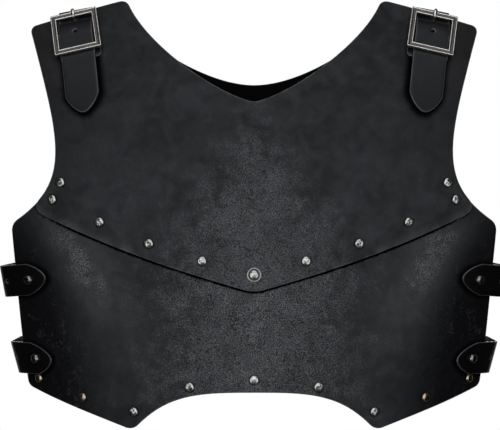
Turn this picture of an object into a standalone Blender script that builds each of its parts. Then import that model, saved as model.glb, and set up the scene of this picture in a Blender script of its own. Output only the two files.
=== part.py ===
"""Leather chest armour: a breast plate riveted over a belly plate, a back plate, and straps that join them.

Metres, +Z up, the front towards -Y. The origin is midway between the shoulders, level with their upper edge.
"""

import functools
import math

import bmesh
import bpy
from mathutils import Matrix, Vector
from mathutils.geometry import interpolate_bezier

FRONT, BACK = -1, 1

# The whole armour
HALF_BREADTH = 0.228
PLATE_HEIGHT = 0.404
FRONT_REACH = 0.135
BACK_REACH = 0.108
PLATE_WALL = 0.0026
CLEARANCE = 0.0003

# Rivets
RIVET_CAP_RADIUS = 0.0045
RIVET_DOME = 0.0023
RIVET_SHANK_RADIUS = 0.0017
RIVET_BACK_RADIUS = 0.0042
RIVET_BACK_WALL = 0.0009
RIVET_BACK_CLEARANCE = 0.0008
RIVET_SIDES = 8
HOLE_SIDES = 6
CAP_ANGLES = (0.0, 0.85, math.pi / 2)
STUD_CAP_RADIUS = 0.0052
STUD_DOME = 0.0030
FLAT_HEAD = 0.0007
RING_RADIUS = 0.0069
RING_HOLE_RADIUS = 0.0050
RING_WALL = 0.0010

# Straps
STRAP_WALL = 0.0020
SHOULDER_STRAP_WIDTH = 0.032
SHOULDER_STRAP_POINT = 0.024
SHOULDER_BEND = 0.0024
SHOULDER_RISE = 0.0018
SIDE_STRAP_WIDTH = 0.030
SIDE_STRAP_POINT = 0.025
SIDE_STRAP_LIFT = 0.0007
SIDE_STRAP_BACK_TAIL = 0.052
SIDE_STUD_FROM_TIP = 0.023
SIDE_HOLE_PITCH = 0.029
SIDE_HOLE_COUNT = 3
STRAP_HOLE_RADIUS = 0.0019
STRAP_FOLD = 0.007
STRAP_END_ROUNDING = 0.006
STRAP_TIP_ROUNDING = 0.0015
BACK_RIVET_FROM_END = 0.014
BACK_RIVET_PITCH = 0.019

# Buckles
BUCKLE_SIDE = 0.045
BUCKLE_BAR = 0.0055
BUCKLE_WALL = 0.0034
BUCKLE_LIFT = 0.0048
BUCKLE_EDGE = 0.0006
CENTRE_BAR_RADIUS = 0.0011
CENTRE_BAR_LIFT = 0.0035
BAR_FOOT_LENGTH = 0.0040
BAR_FOOT_BREADTH = 0.00385
BAR_FOOT_BITE = 0.0004
PRONG_RADIUS = 0.0008
PRONG_FLATTENING = 1.5
CHAPE_WALL = 0.0013
CHAPE_STEP = 0.005
CHAPE_RETURN = 0.013
CHAPE_TAIL = 0.0275
CHAPE_TAIL_FROM = 0.0175
CHAPE_TAIL_WIDTH = 0.039
CHAPE_TAIL_SHIFT = 0.002
CHAPE_RIVET_FROM_BAR = 0.009
CHAPE_CORNER = 0.004
CHAPE_ROWS_FROM_BAR = (0.012, 0.005)
CHAPE_COLUMNS = (-0.009, 0.009)
USED_HOLE_WIDTH = 0.0034
USED_HOLE_LENGTH = 0.0062
USED_HOLE_FROM_TOP_BAR = 0.0042

# Fineness of the plates and straps
COLUMN_ANGLE = math.radians(6.0)
COLUMNS_PAST_EDGE = 1.12
ROW_STEP = 0.032
CELL_NEARNESS = 0.04
SHEET_NEARNESS = 0.0006
CURVE_TOLERANCE = 0.00035
STRAP_STEP = 0.012
STRAP_PLAIN_STEP = 0.0168
STRAP_LINE_STEP = 0.002
STRAP_BACK_STEPS = 16
SIDE_PATH_STEPS = 6
SLOPE_STEP = 0.0005
CUTTER_DEPTH = 0.020

# Body form: how far down the plate as a share of PLATE_HEIGHT, then half the breadth of the rounding as a
# share of HALF_BREADTH, and its depth and the set-back of its middle as shares of the reach
SECTIONS = {
    FRONT: (
        # down, breadth, depth, set_back
        (0.00, 1.40, 0.68, 0.520),
        (0.23, 1.38, 0.77, 0.163),
        (0.45, 1.32, 0.90, 0.008),
        (0.65, 1.15, 1.05, 0.000),
        (0.87, 1.10, 1.22, 0.015),
        (1.05, 1.08, 1.24, 0.060),
    ),
    BACK: (
        (0.00, 1.40, 0.75, 0.600),
        (0.23, 1.38, 0.80, 0.170),
        (0.45, 1.32, 0.85, 0.000),
        (0.65, 1.15, 0.90, 0.030),
        (0.87, 1.10, 0.90, 0.120),
        (1.05, 1.08, 0.88, 0.150),
    ),
}
REACH = {FRONT: FRONT_REACH, BACK: BACK_REACH}

# Edges of the plates as cubic curves of four points: across as a share of HALF_BREADTH, down as a share of
# PLATE_HEIGHT
NECK_EDGE = ((0.000, 0.250), (0.167, 0.228), (0.464, 0.101), (0.531, 0.000))
SHOULDER_EDGE = ((0.531, 0.000), (0.667, 0.019), (0.802, 0.042), (0.938, 0.064))
ARM_EDGE = ((0.938, 0.064), (0.766, 0.363), (0.743, 0.438), (1.000, 0.528))
SIDE_EDGE = ((1.000, 0.528), (0.994, 0.639), (0.982, 0.784), (0.947, 0.910))
OUTER_HEM = ((0.947, 0.910), (0.799, 0.943), (0.651, 0.968), (0.493, 1.000))
HEM_ARCH = ((0.493, 1.000), (0.354, 0.913), (0.227, 0.909), (0.000, 0.909))
SEAM_INNER = ((0.541, 0.594), (0.326, 0.630), (0.000, 0.683))
SEAM_SIDE_DOWN = 0.500
UNDERLAP_INNER = ((0.620, 0.460), (0.330, 0.545), (0.000, 0.614))
UNDERLAP_SIDE_DOWN = 0.402
BACK_NECK_EDGE = ((0.000, 0.177), (0.180, 0.177), (0.418, 0.105), (0.560, 0.025))
BACK_SHOULDER_EDGE = ((0.560, 0.025), (0.685, 0.042), (0.810, 0.064), (0.935, 0.088))
BACK_ARM_EDGE = ((0.935, 0.088), (0.766, 0.363), (0.743, 0.438), (1.000, 0.528))
CORNER_ROUNDING = 0.007
TIP_ROUNDING = 0.004
WIDEST_SHARE = max(across for across, down in ARM_EDGE + SIDE_EDGE)
FORM_BREADTH = COLUMNS_PAST_EDGE * WIDEST_SHARE * HALF_BREADTH

# Rivets by place: shares across and down, as for the edges
ARM_RIVETS = ((0.784, 0.433), (0.819, 0.472))
HEM_RIVETS = ((0.896, 0.891), (0.703, 0.929), (0.488, 0.957), (0.259, 0.897), (0.000, 0.880))
SEAM_RIVETS = ((0.623, 0.5235), (0.422, 0.572), (0.208, 0.611), (0.000, 0.642))

# Shoulder straps: the run of the middle line, and where the buckle's middle sits on it
STRAP_TIP_AT = (0.689, 0.274)
BUCKLE_AT = (0.731, 0.089)
STRAP_BACK_TOP_AT = (0.692, 0.036)
STRAP_BACK_END_AT = (0.655, 0.235)

# Side straps: height of the middle, how far the fold stands out from the plate's side at the strap's upper
# and lower edge as shares of HALF_BREADTH, and the length from the fold to the front tip. The lower strap
# lies close over the outer hem rivet.
LOWER_STRAP_OVER_RIVET = SIDE_STRAP_WIDTH / 2 + RIVET_CAP_RADIUS + CLEARANCE
SIDE_STRAPS = (
    # name, down, upper_stand, lower_stand, front_tail
    ("upper", 0.657, 0.060, 0.052, 0.0570),
    ("lower", HEM_RIVETS[0][1] - LOWER_STRAP_OVER_RIVET / PLATE_HEIGHT, 0.042, 0.028, 0.0545),
)

# The curved point of a strap from its tip: shares of half the width and of the point's length
STRAP_POINT_CURVE = ((0.00, 0.00), (0.55, 0.16), (1.00, 0.55), (1.00, 1.00))

# Lift of the shoulder strap over the chape and centre bar, by distance up the strap from the bar
STRAP_RISE = (
    # along, lift
    (-0.0350, 0.0000),
    (-0.0285, 0.0018),
    (-0.0175, 0.0018),
    (-0.0130, 0.0036),
    (-0.0090, 0.0047),
    (-0.0035, 0.0065),
    (0.0065, 0.0065),
    (0.0115, 0.0052),
    (0.0150, 0.0023),
    (0.0185, 0.0003),
    (0.0230, 0.0000),
)

# Bends of the shoulder strap on either side of its crown, in lengths of SHOULDER_BEND
CROWN_ROWS = (0.0, 0.65, 1.3, 1.95)

# The prong's loop round the centre bar in degrees, then its run: how far over the window, how far over the
# top bar, and how much of its rise from the centre bar to the top bar
PRONG_LOOP = range(60, -211, -45)
PRONG_RUN = (
    # window, bar, rise
    (0.40, 0.0, 0.10),
    (0.62, 0.0, 0.24),
    (0.80, 0.0, 0.57),
    (0.93, 0.0, 0.93),
    (1.00, 0.3, 1.00),
    (1.00, 1.0, 0.98),
)

BREAST_LIFT = PLATE_WALL + CLEARANCE
STRAP_ON_BREAST = BREAST_LIFT + CLEARANCE
CENTRE_BAR_REACH = CENTRE_BAR_RADIUS + CLEARANCE
HOLE_REACH = 0.009


def clear_scene():
    for obj in list(bpy.data.objects):
        bpy.data.objects.remove(obj, do_unlink=True)


def new_collection(name, helper=False):
    collection = bpy.data.collections.new(name)
    collection.hide_render = helper
    bpy.context.scene.collection.children.link(collection)
    return collection


def new_material(name, color, roughness, metallic=0.0):
    material = bpy.data.materials.new(name)
    material.use_nodes = True
    shader = material.node_tree.nodes["Principled BSDF"]
    shader.inputs["Base Color"].default_value = (*color, 1.0)
    shader.inputs["Roughness"].default_value = roughness
    shader.inputs["Metallic"].default_value = metallic
    return material


def smooth(rows, at):
    """The other columns of a table at this value of its first, on a smooth curve through its rows."""
    last = len(rows) - 1
    i = max(n for n in range(last) if n == 0 or rows[n][0] <= at)

    def slope(n, column):
        before, after = rows[max(n - 1, 0)], rows[min(n + 1, last)]
        return (after[column] - before[column]) / (after[0] - before[0])

    start, end = rows[i], rows[i + 1]
    span = end[0] - start[0]
    t = min(max((at - start[0]) / span, 0.0), 1.0)
    values = []
    for column in range(1, len(start)):
        rise = (2 * t**3 - 3 * t**2 + 1) * start[column] + (3 * t**2 - 2 * t**3) * end[column]
        bend = (t**3 - 2 * t**2 + t) * slope(i, column) + (t**3 - t**2) * slope(i + 1, column)
        values.append(rise + bend * span)
    return values


def body_depth(x, z, side):
    """How far the body form stands out from the plane between front and back."""
    breadth, depth, set_back = smooth(SECTIONS[side], -z / PLATE_HEIGHT)
    ratio = min(abs(x) / (breadth * HALF_BREADTH), 0.98)
    return REACH[side] * (1 - set_back - depth * (1 - math.sqrt(1 - ratio**2)))


def surface(x, z, side, lift=0.0):
    """The point of the body form at this place across and up, lifted off it, and the outward normal there."""
    step = SLOPE_STEP
    across = (body_depth(x + step, z, side) - body_depth(x - step, z, side)) / (2 * step)
    upward = (body_depth(x, z + step, side) - body_depth(x, z - step, side)) / (2 * step)
    normal = Vector((-across, side, -upward)).normalized()
    outward = body_depth(x, z, side) + lift / abs(normal.y)
    return Vector((x, side * outward, z)), normal


def place_of(shares):
    """Shares across and down, as the place (x, z)."""
    return shares[0] * HALF_BREADTH, -shares[1] * PLATE_HEIGHT


def column_x(column):
    """How far across a column of the faceted form lies; columns are closer together where the form turns."""
    return FORM_BREADTH * math.sin(column * COLUMN_ANGLE)


def cell_of(x, z):
    """A place (x, z) counted in columns and rows of the faceted form."""
    column = math.floor(math.asin(x / FORM_BREADTH) / COLUMN_ANGLE + 1e-9)
    share = (x - column_x(column)) / (column_x(column + 1) - column_x(column))
    return column + share, z / ROW_STEP


@functools.cache
def form_corner(column, row, side, lift):
    return surface(column_x(column), row * ROW_STEP, side, lift)[0]


def facet_at(columns, rows, side, lift):
    """A corner of the flat triangle at this count of columns and rows, its edges, and the place on them."""
    column, row = math.floor(columns + 1e-6), math.floor(rows + 1e-6)
    over, up = columns - column, rows - row
    near = over + up <= 1
    corner = form_corner(column + (not near), row + (not near), side, lift)
    beside = form_corner(column + near, row + (not near), side, lift) - corner
    upper = form_corner(column + (not near), row + near, side, lift) - corner
    return (corner, beside, upper, over, up) if near else (corner, beside, upper, 1 - over, 1 - up)


def form_point(columns, rows, side, lift):
    """The point of the faceted form at this count of columns and rows."""
    corner, beside, upper, over, up = facet_at(columns, rows, side, lift)
    return corner + beside * over + upper * up


def on_form(x, z, side, lift):
    """The faceted form's point at a place (x, z) on either side of the middle."""
    point = form_point(*cell_of(abs(x), z), side, lift)
    return Vector((math.copysign(point.x, x), point.y, point.z))


def form_normal(x, z, side):
    """The outward normal of the faceted form's triangle at a place (x, z)."""
    beside, upper = facet_at(*cell_of(abs(x), z), side, 0.0)[1:3]
    normal = beside.cross(upper)
    normal *= side * math.copysign(1, normal.y)
    normal.x = math.copysign(normal.x, x) if x else 0.0
    return normal.normalized()


def grip_at(seat, normal, inner_lift=-PLATE_WALL):
    """The depth from a fastener's seat to the inner face of the plate under it."""
    inner = on_form(seat.x, seat.z, FRONT if seat.y < 0 else BACK, inner_lift)
    return (seat - inner).dot(normal)


def bezier(knots):
    """A cubic curve with as many points as keep it within the tolerance."""
    start, end = knots[0], knots[3]
    chord = (end - start).normalized()
    bulge = max(((k - start) - chord * (k - start).dot(chord)).length for k in knots[1:3])
    steps = max(1, math.ceil(math.sqrt(0.75 * bulge / CURVE_TOLERANCE)))
    return interpolate_bezier(*knots, steps + 1)


def edge_curve(points):
    return bezier([Vector(place_of(p)).to_3d() for p in points])


def lengths_of(line):
    """Distance along the line at each of its points."""
    lengths = [0.0]
    for before, after in zip(line, line[1:]):
        lengths.append(lengths[-1] + (after - before).length)
    return lengths


def along(line, lengths, distance):
    """The point at this distance along the line, straight on past either end."""
    i = max(n for n in range(len(line) - 1) if n == 0 or lengths[n] <= distance)
    share = (distance - lengths[i]) / (lengths[i + 1] - lengths[i])
    return line[i].lerp(line[i + 1], share)


def trimmed(line, start, end):
    """The line without this much of either end."""
    lengths = lengths_of(line)
    stop = lengths[-1] - end
    inner = [p for p, at in zip(line, lengths) if start * 1.2 < at < stop - end * 0.2]
    return [along(line, lengths, start), *inner, along(line, lengths, stop)]


def corner_curve(start, corner, end, steps):
    """The points between start and end on a rounding of the corner."""
    return interpolate_bezier(start, start.lerp(corner, 0.6), end.lerp(corner, 0.6), end, steps)[1:-1]


def rounded(lines, cuts, steps=4):
    """Lines that meet end to end, as one line with each meeting point rounded over its own cut."""
    cuts = [0.0, *cuts, 0.0]
    result = []
    for i, line in enumerate(lines):
        part = trimmed(line, cuts[i], cuts[i + 1])
        if result and cuts[i] > 0:
            result += corner_curve(result[-1], line[0], part[0], steps)
        result += part if not result or cuts[i] > 0 else part[1:]
    return result


def mirrored_line(line):
    return [Vector((-p.x, *p[1:])) for p in reversed(line)]


def whole_outline(lines, cuts, ends):
    """A closed outline from the lines of its right half, from the middle above to the middle below."""
    left = [mirrored_line(line) for line in reversed(lines)]
    corners = [*cuts, ends[1], *reversed(cuts)]
    outline = rounded([*lines, *left], corners)
    if not ends[0]:
        return outline[:-1]
    first = trimmed(outline, ends[0], ends[0])
    return [*first, *corner_curve(first[-1], outline[0], first[0], 5)]


def below(line, down):
    """The part of a falling edge from this share of the height down."""
    limit = -down * PLATE_HEIGHT
    i = next(n for n in range(1, len(line)) if line[n].y < limit)
    share = (limit - line[i - 1].y) / (line[i].y - line[i - 1].y)
    return [line[i - 1].lerp(line[i], share), *line[i:]]


def above(line, down):
    """The part of a falling edge from its top to this share of the height."""
    lower = below(line, down)
    return [*line[: len(line) - len(lower) + 1], lower[0]]


def cross_edge(start, inner):
    """A curve from a point on the side of a plate to its middle line."""
    return bezier([start, *[Vector(place_of(p)).to_3d() for p in inner]])


def breast_outline():
    arm = above([*edge_curve(ARM_EDGE), *edge_curve(SIDE_EDGE)[1:]], SEAM_SIDE_DOWN)
    lines = [edge_curve(NECK_EDGE), edge_curve(SHOULDER_EDGE), arm, cross_edge(arm[-1], SEAM_INNER)]
    return whole_outline(lines, [CORNER_ROUNDING] * 3, [TIP_ROUNDING, TIP_ROUNDING])


def belly_outline():
    arm = below(edge_curve(ARM_EDGE), UNDERLAP_SIDE_DOWN)
    top = list(reversed(cross_edge(arm[0], UNDERLAP_INNER)))
    lines = [top, arm, edge_curve(SIDE_EDGE), edge_curve(OUTER_HEM), edge_curve(HEM_ARCH)]
    return whole_outline(lines, [TIP_ROUNDING, *[CORNER_ROUNDING] * 3], [TIP_ROUNDING, 0.0])


def back_outline():
    edges = (BACK_NECK_EDGE, BACK_SHOULDER_EDGE, BACK_ARM_EDGE, SIDE_EDGE, OUTER_HEM, HEM_ARCH)
    return whole_outline([edge_curve(e) for e in edges], [CORNER_ROUNDING] * 5, [0.0, 0.0])


def cut_along(bm, axis, value, nearness, clear=False):
    """Cuts flat faces along the line where this axis reaches the value."""
    bmesh.ops.bisect_plane(
        bm,
        geom=bm.verts[:] + bm.edges[:] + bm.faces[:],
        dist=nearness,
        plane_co=axis * (value / axis.length_squared),
        plane_no=axis,
        clear_inner=clear,
    )


def half_plate(outline, side, lift):
    """An open mesh of the plate's right half on the faceted form, cut along the form's own facets."""
    bm = bmesh.new()
    bm.faces.new([bm.verts.new((p.x, p.y, 0)) for p in outline])
    cut_along(bm, Vector((1, 0, 0)), 0.0, 0.0001, clear=True)
    for vert in bm.verts:
        vert.co = (*cell_of(max(vert.co.x, 0.0), vert.co.y), 0)
    columns = math.ceil(max(v.co.x for v in bm.verts))
    rows = math.ceil(-min(v.co.y for v in bm.verts))
    grid = (((1, 0, 0), 1, columns), ((0, 1, 0), -rows, -1), ((1, 1, 0), 1 - rows, columns))
    for axis, first, last in grid:
        for value in range(first, last + 1):
            cut_along(bm, Vector(axis), value, CELL_NEARNESS)
    return carried(bm, lambda across, up: form_point(across, up, side, lift))


def sheet(outline, columns, rows, place):
    """An open mesh: the flat outline cut into cells, with every corner carried to its place."""
    bm = bmesh.new()
    bm.faces.new([bm.verts.new((p[0], p[1], 0)) for p in outline])
    for axis, values in (((1, 0, 0), columns), ((0, 1, 0), rows)):
        for value in values:
            cut_along(bm, Vector(axis), value, SHEET_NEARNESS)
    return carried(bm, place)


def carried(bm, place):
    """The flat faces as triangles with every corner carried to its place, as a mesh."""
    bmesh.ops.recalc_face_normals(bm, faces=bm.faces[:])
    if bm.faces[:][0].normal.z < 0:
        bmesh.ops.reverse_faces(bm, faces=bm.faces[:])
    bmesh.ops.triangulate(bm, faces=bm.faces[:])
    for vert in bm.verts:
        vert.co = place(vert.co.x, vert.co.y)
    mesh = bpy.data.meshes.new("sheet")
    bm.to_mesh(mesh)
    bm.free()
    return mesh


def add(name, mesh, material, collection, matrix=None):
    obj = bpy.data.objects.new(name, mesh)
    mesh.name = name
    if material and not mesh.materials:
        mesh.materials.append(material)
    if matrix:
        obj.matrix_world = matrix
    collection.objects.link(obj)
    return obj


def evaluated_mesh(obj):
    """The object's mesh with its modifiers applied, in the object's own space."""
    bpy.context.view_layer.update()
    graph = bpy.context.evaluated_depsgraph_get()
    return bpy.data.meshes.new_from_object(obj.evaluated_get(graph))


def apply_modifiers(obj):
    mesh = evaluated_mesh(obj)
    obj.modifiers.clear()
    obj.data = mesh
    mesh.name = obj.name


def thicken(obj, wall, outward):
    solidify = obj.modifiers.new("wall", "SOLIDIFY")
    solidify.thickness = wall
    solidify.offset = outward
    solidify.use_even_offset = True
    solidify.use_quality_normals = True


def cut_with(obj, cutter, operation="DIFFERENCE"):
    boolean = obj.modifiers.new(operation.lower(), "BOOLEAN")
    boolean.operation = operation
    boolean.object = cutter


def soften(obj):
    obj.data.shade_smooth()
    obj.data.set_sharp_from_angle(angle=math.radians(35))


def frame_at(point, normal, up):
    """A matrix at the point, Z along the normal and Y as near to up as it can be."""
    across = up.cross(normal).normalized()
    rotation = Matrix((across, normal.cross(across), normal)).transposed()
    return Matrix.Translation(point) @ rotation.to_4x4()


def mirror_matrix():
    return Matrix.Scale(-1, 4, Vector((1, 0, 0)))


def mirrored_copy(obj, name, collection):
    """The same piece for the other side, as a mesh of its own."""
    mesh = obj.data.copy()
    mesh.transform(mirror_matrix() @ obj.matrix_world)
    mesh.flip_normals()
    copy = add(name, mesh, None, collection)
    soften(copy)
    return copy


class Fastener:
    """A rivet or stud: where it sits, its cap, and the depth of leather that it grips."""

    def __init__(self, name, seat, normal, grip, cap_radius, dome):
        self.name = name
        self.seat = seat
        self.normal = normal
        self.grip = grip
        self.cap_radius = cap_radius
        self.dome = dome
        up = Vector((0, 0, 1))
        self.matrix = frame_at(seat + normal * CLEARANCE, normal, up)

    def build(self, material, collection):
        shank_end = -(self.grip + CLEARANCE + RIVET_BACK_CLEARANCE)
        cap = [(self.cap_radius * math.sin(a), self.dome * math.cos(a)) for a in CAP_ANGLES]
        below_cap = [
            (RIVET_SHANK_RADIUS, 0.0),
            (RIVET_SHANK_RADIUS, shank_end),
            (RIVET_BACK_RADIUS, shank_end),
            (0.0, shank_end - RIVET_BACK_WALL),
        ]
        turned(self.name, cap + below_cap, material, collection, self.matrix)

    def hole(self, bm, radius=None):
        """Adds this fastener's hole to a mesh of cutters."""
        inner = (radius or RIVET_SHANK_RADIUS + CLEARANCE) / math.cos(math.pi / HOLE_SIDES)
        bmesh.ops.create_cone(
            bm,
            cap_ends=True,
            segments=HOLE_SIDES,
            radius1=inner,
            radius2=inner,
            depth=2 * self.grip + HOLE_REACH,
            matrix=self.matrix,
        )


def turned(name, profile, material, collection, matrix, closed=False):
    """A profile of (radius, height) points turned about its own Z."""
    mesh = bpy.data.meshes.new(name)
    edges = [(i, (i + 1) % len(profile)) for i in range(len(profile) - (not closed))]
    mesh.from_pydata([(r, 0, h) for r, h in profile], edges, [])
    obj = add(name, mesh, material, collection, matrix)
    screw = obj.modifiers.new("turn", "SCREW")
    screw.steps = screw.render_steps = RIVET_SIDES
    screw.use_merge_vertices = True
    screw.merge_threshold = 0.00001
    screw.use_smooth_shade = True
    return obj


def cutter_of(name, fasteners, collection, radius=None):
    bm = bmesh.new()
    for fastener in fasteners:
        fastener.hole(bm, radius)
    mesh = bpy.data.meshes.new(name)
    bm.to_mesh(mesh)
    bm.free()
    cutter = add(name, mesh, None, collection)
    cutter.hide_render = True
    cutter.display_type = "WIRE"
    return cutter


def add_plate(name, outline, side, lift, fasteners, material, parts, cutters):
    """A plate whose outer face lies on the form lifted by this much."""
    mesh = half_plate(outline, side, lift)
    if side == BACK:
        mesh.flip_normals()
    plate = add(name, mesh, material, parts)
    mirror = plate.modifiers.new("other half", "MIRROR")
    mirror.merge_threshold = 0.0001
    thicken(plate, PLATE_WALL, -1)
    cut_with(plate, cutter_of(f"{name}_holes", fasteners, cutters))
    apply_modifiers(plate)
    soften(plate)
    return plate


def plate_fastener(name, x, z, side, top_lift, under_lift, cap_radius=RIVET_CAP_RADIUS, dome=RIVET_DOME):
    """A fastener square to the plate, from the face it sits on to the face its back bears on."""
    seat = on_form(x, z, side, top_lift)
    normal = form_normal(x, z, side)
    return Fastener(name, seat, normal, grip_at(seat, normal, under_lift), cap_radius, dome)


def arm_rivets():
    right = []
    for i, shares in enumerate(ARM_RIVETS, 1):
        x, z = place_of(shares)
        right.append(plate_fastener(f"arm_rivet_right_{i}", x, z, FRONT, BREAST_LIFT, -PLATE_WALL))
    return right + [mirrored_fastener(rivet) for rivet in right]


def row_of_rivets(name, table, lift):
    """The rivets of a table on both sides of the middle, counted from the left."""
    places = sorted({(across, down) for share, down in table for across in (-share, share)})
    found = []
    for i, shares in enumerate(places, 1):
        x, z = place_of(shares)
        on_ring = RING_WALL / 2 + CLEARANCE if name == "seam" and x == 0 else 0.0
        found.append(plate_fastener(f"{name}_rivet_{i}", x, z, FRONT, lift + on_ring, -PLATE_WALL))
    return found


def add_seam_ring(rivets, material, collection):
    """The flat ring under the cap of the middle seam rivet."""
    middle = min(rivets, key=lambda rivet: abs(rivet.seat.x))
    half = RING_WALL / 2
    matrix = middle.matrix @ Matrix.Translation((0, 0, -half - CLEARANCE))
    profile = [
        (RING_HOLE_RADIUS, RING_WALL),
        (RING_RADIUS - half, RING_WALL),
        (RING_RADIUS, half),
        (RING_RADIUS, 0.0),
        (RIVET_SHANK_RADIUS + CLEARANCE, 0.0),
        (RIVET_SHANK_RADIUS + CLEARANCE, half),
        (RING_HOLE_RADIUS, half),
    ]
    turned("seam_ring", profile, material, collection, matrix, closed=True)


def pointed_strip(width, length, point):
    """Outline (across, along) of a strap with a curved point at 0 and rounded corners at its far end."""
    half = width / 2
    side = interpolate_bezier(*[Vector((half * over, point * up, 0)) for over, up in STRAP_POINT_CURVE], 6)
    edge = [side[-1], Vector((half, length, 0))]
    end = [edge[-1], Vector((0, length, 0))]
    return whole_outline([side, edge, end], [0.0, STRAP_END_ROUNDING], [STRAP_TIP_ROUNDING, 0.0])


def side_edge_x(z):
    """How far out the plates' side edge is at this height."""
    line = edge_curve(SIDE_EDGE)
    n = next((n for n in range(1, len(line)) if line[n].y < z), len(line) - 1)
    share = (z - line[n - 1].y) / (line[n].y - line[n - 1].y)
    return line[n - 1].lerp(line[n], share).x


def side_path(z, stand):
    """The strap's inner face at this height: over the front plate, round the side, over the back plate."""
    edge = side_edge_x(z)
    runs = []
    for side in (FRONT, BACK):
        xs = [edge - STRAP_STEP * i for i in range(SIDE_PATH_STEPS + 1)]
        on_plate = [surface(x, z, side, SIDE_STRAP_LIFT)[0] for x in xs]
        outward = on_plate[0] - surface(edge - STRAP_STEP / 4, z, side, SIDE_STRAP_LIFT)[0]
        fold = on_plate[0] + outward * (stand / outward.x)
        runs.append([*reversed(on_plate), fold])
    front, back = runs
    back.reverse()
    path = rounded([front, [front[-1], back[0]], back], [STRAP_FOLD, STRAP_FOLD], 4)
    return path, lengths_of(front)[-1]


class SideStrap:
    """A right side strap, straight across between the paths of its upper and lower edge."""

    def __init__(self, name, down, upper_stand, lower_stand, front_tail):
        self.name = name
        self.edges = []
        for stand, above_middle in ((upper_stand, 0.5), (lower_stand, -0.5)):
            height = SIDE_STRAP_WIDTH * above_middle - down * PLATE_HEIGHT
            path, fold_at = side_path(height, stand * HALF_BREADTH)
            self.edges.append((path, lengths_of(path), fold_at - front_tail))
        path, lengths, start = self.edges[0]
        back_fold = next(n for n in range(len(path)) if path[n].y > 0 and path[n + 1].x < path[n].x)
        self.length = lengths[back_fold] - start + SIDE_STRAP_BACK_TAIL

    def rows(self):
        """Where the strap bends: the points of its upper edge's path."""
        path, lengths, start = self.edges[0]
        return [at - start for at in lengths if STRAP_LINE_STEP < at - start < self.length - STRAP_LINE_STEP]

    def point(self, across, distance):
        """A point of the strap's inner face: down from its middle line, and along from its front tip."""
        upper, lower = (along(path, lengths, start + distance) for path, lengths, start in self.edges)
        return upper.lerp(lower, across / SIDE_STRAP_WIDTH + 0.5)

    def normal(self, distance):
        step = SLOPE_STEP * 2
        run = self.point(0, distance + step) - self.point(0, distance - step)
        across = self.point(step, distance) - self.point(-step, distance)
        return across.cross(run).normalized()

    def fastener(self, name, distance, cap_radius, dome):
        normal = self.normal(distance)
        seat = self.point(0, distance) + normal * STRAP_WALL
        return Fastener(name, seat, normal, grip_at(seat, normal), cap_radius, dome)


def add_side_straps(leather, metal, parts, cutters):
    """Both straps of each side with their studs and rear rivets, handed back for the plates' holes."""
    studs, rivets = [], []
    for name, *sizes in SIDE_STRAPS:
        strap = SideStrap(name, *sizes)
        outline = pointed_strip(SIDE_STRAP_WIDTH, strap.length, SIDE_STRAP_POINT)
        mesh = sheet(outline, [], strap.rows(), strap.point)
        obj = add(f"side_strap_{name}_right", mesh, leather, parts)
        thicken(obj, STRAP_WALL, 1)
        stud = strap.fastener(f"side_stud_{name}_right", SIDE_STUD_FROM_TIP, STUD_CAP_RADIUS, STUD_DOME)
        rivet = strap.fastener(
            f"side_rivet_{name}_right", strap.length - BACK_RIVET_FROM_END, RIVET_CAP_RADIUS, RIVET_DOME
        )
        holes = [
            strap.fastener("hole", SIDE_STUD_FROM_TIP + SIDE_HOLE_PITCH * i, 0.0, 0.0)
            for i in range(1, SIDE_HOLE_COUNT + 1)
        ]
        cut_with(obj, cutter_of(f"{obj.name}_rivet_holes", [stud, rivet], cutters))
        cut_with(obj, cutter_of(f"{obj.name}_spare_holes", holes, cutters, STRAP_HOLE_RADIUS))
        apply_modifiers(obj)
        soften(obj)
        mirrored_copy(obj, f"side_strap_{name}_left", parts)
        for fastener, group in ((stud, studs), (rivet, rivets)):
            group += [fastener, mirrored_fastener(fastener)]
    for fastener in studs + rivets:
        fastener.build(metal, parts)
    return studs, rivets


def mirrored_fastener(fastener):
    flip = Vector((-1, 1, 1))
    return Fastener(
        fastener.name.replace("right", "left"), fastener.seat * flip, fastener.normal * flip,
        fastener.grip, fastener.cap_radius, fastener.dome,
    )


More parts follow.
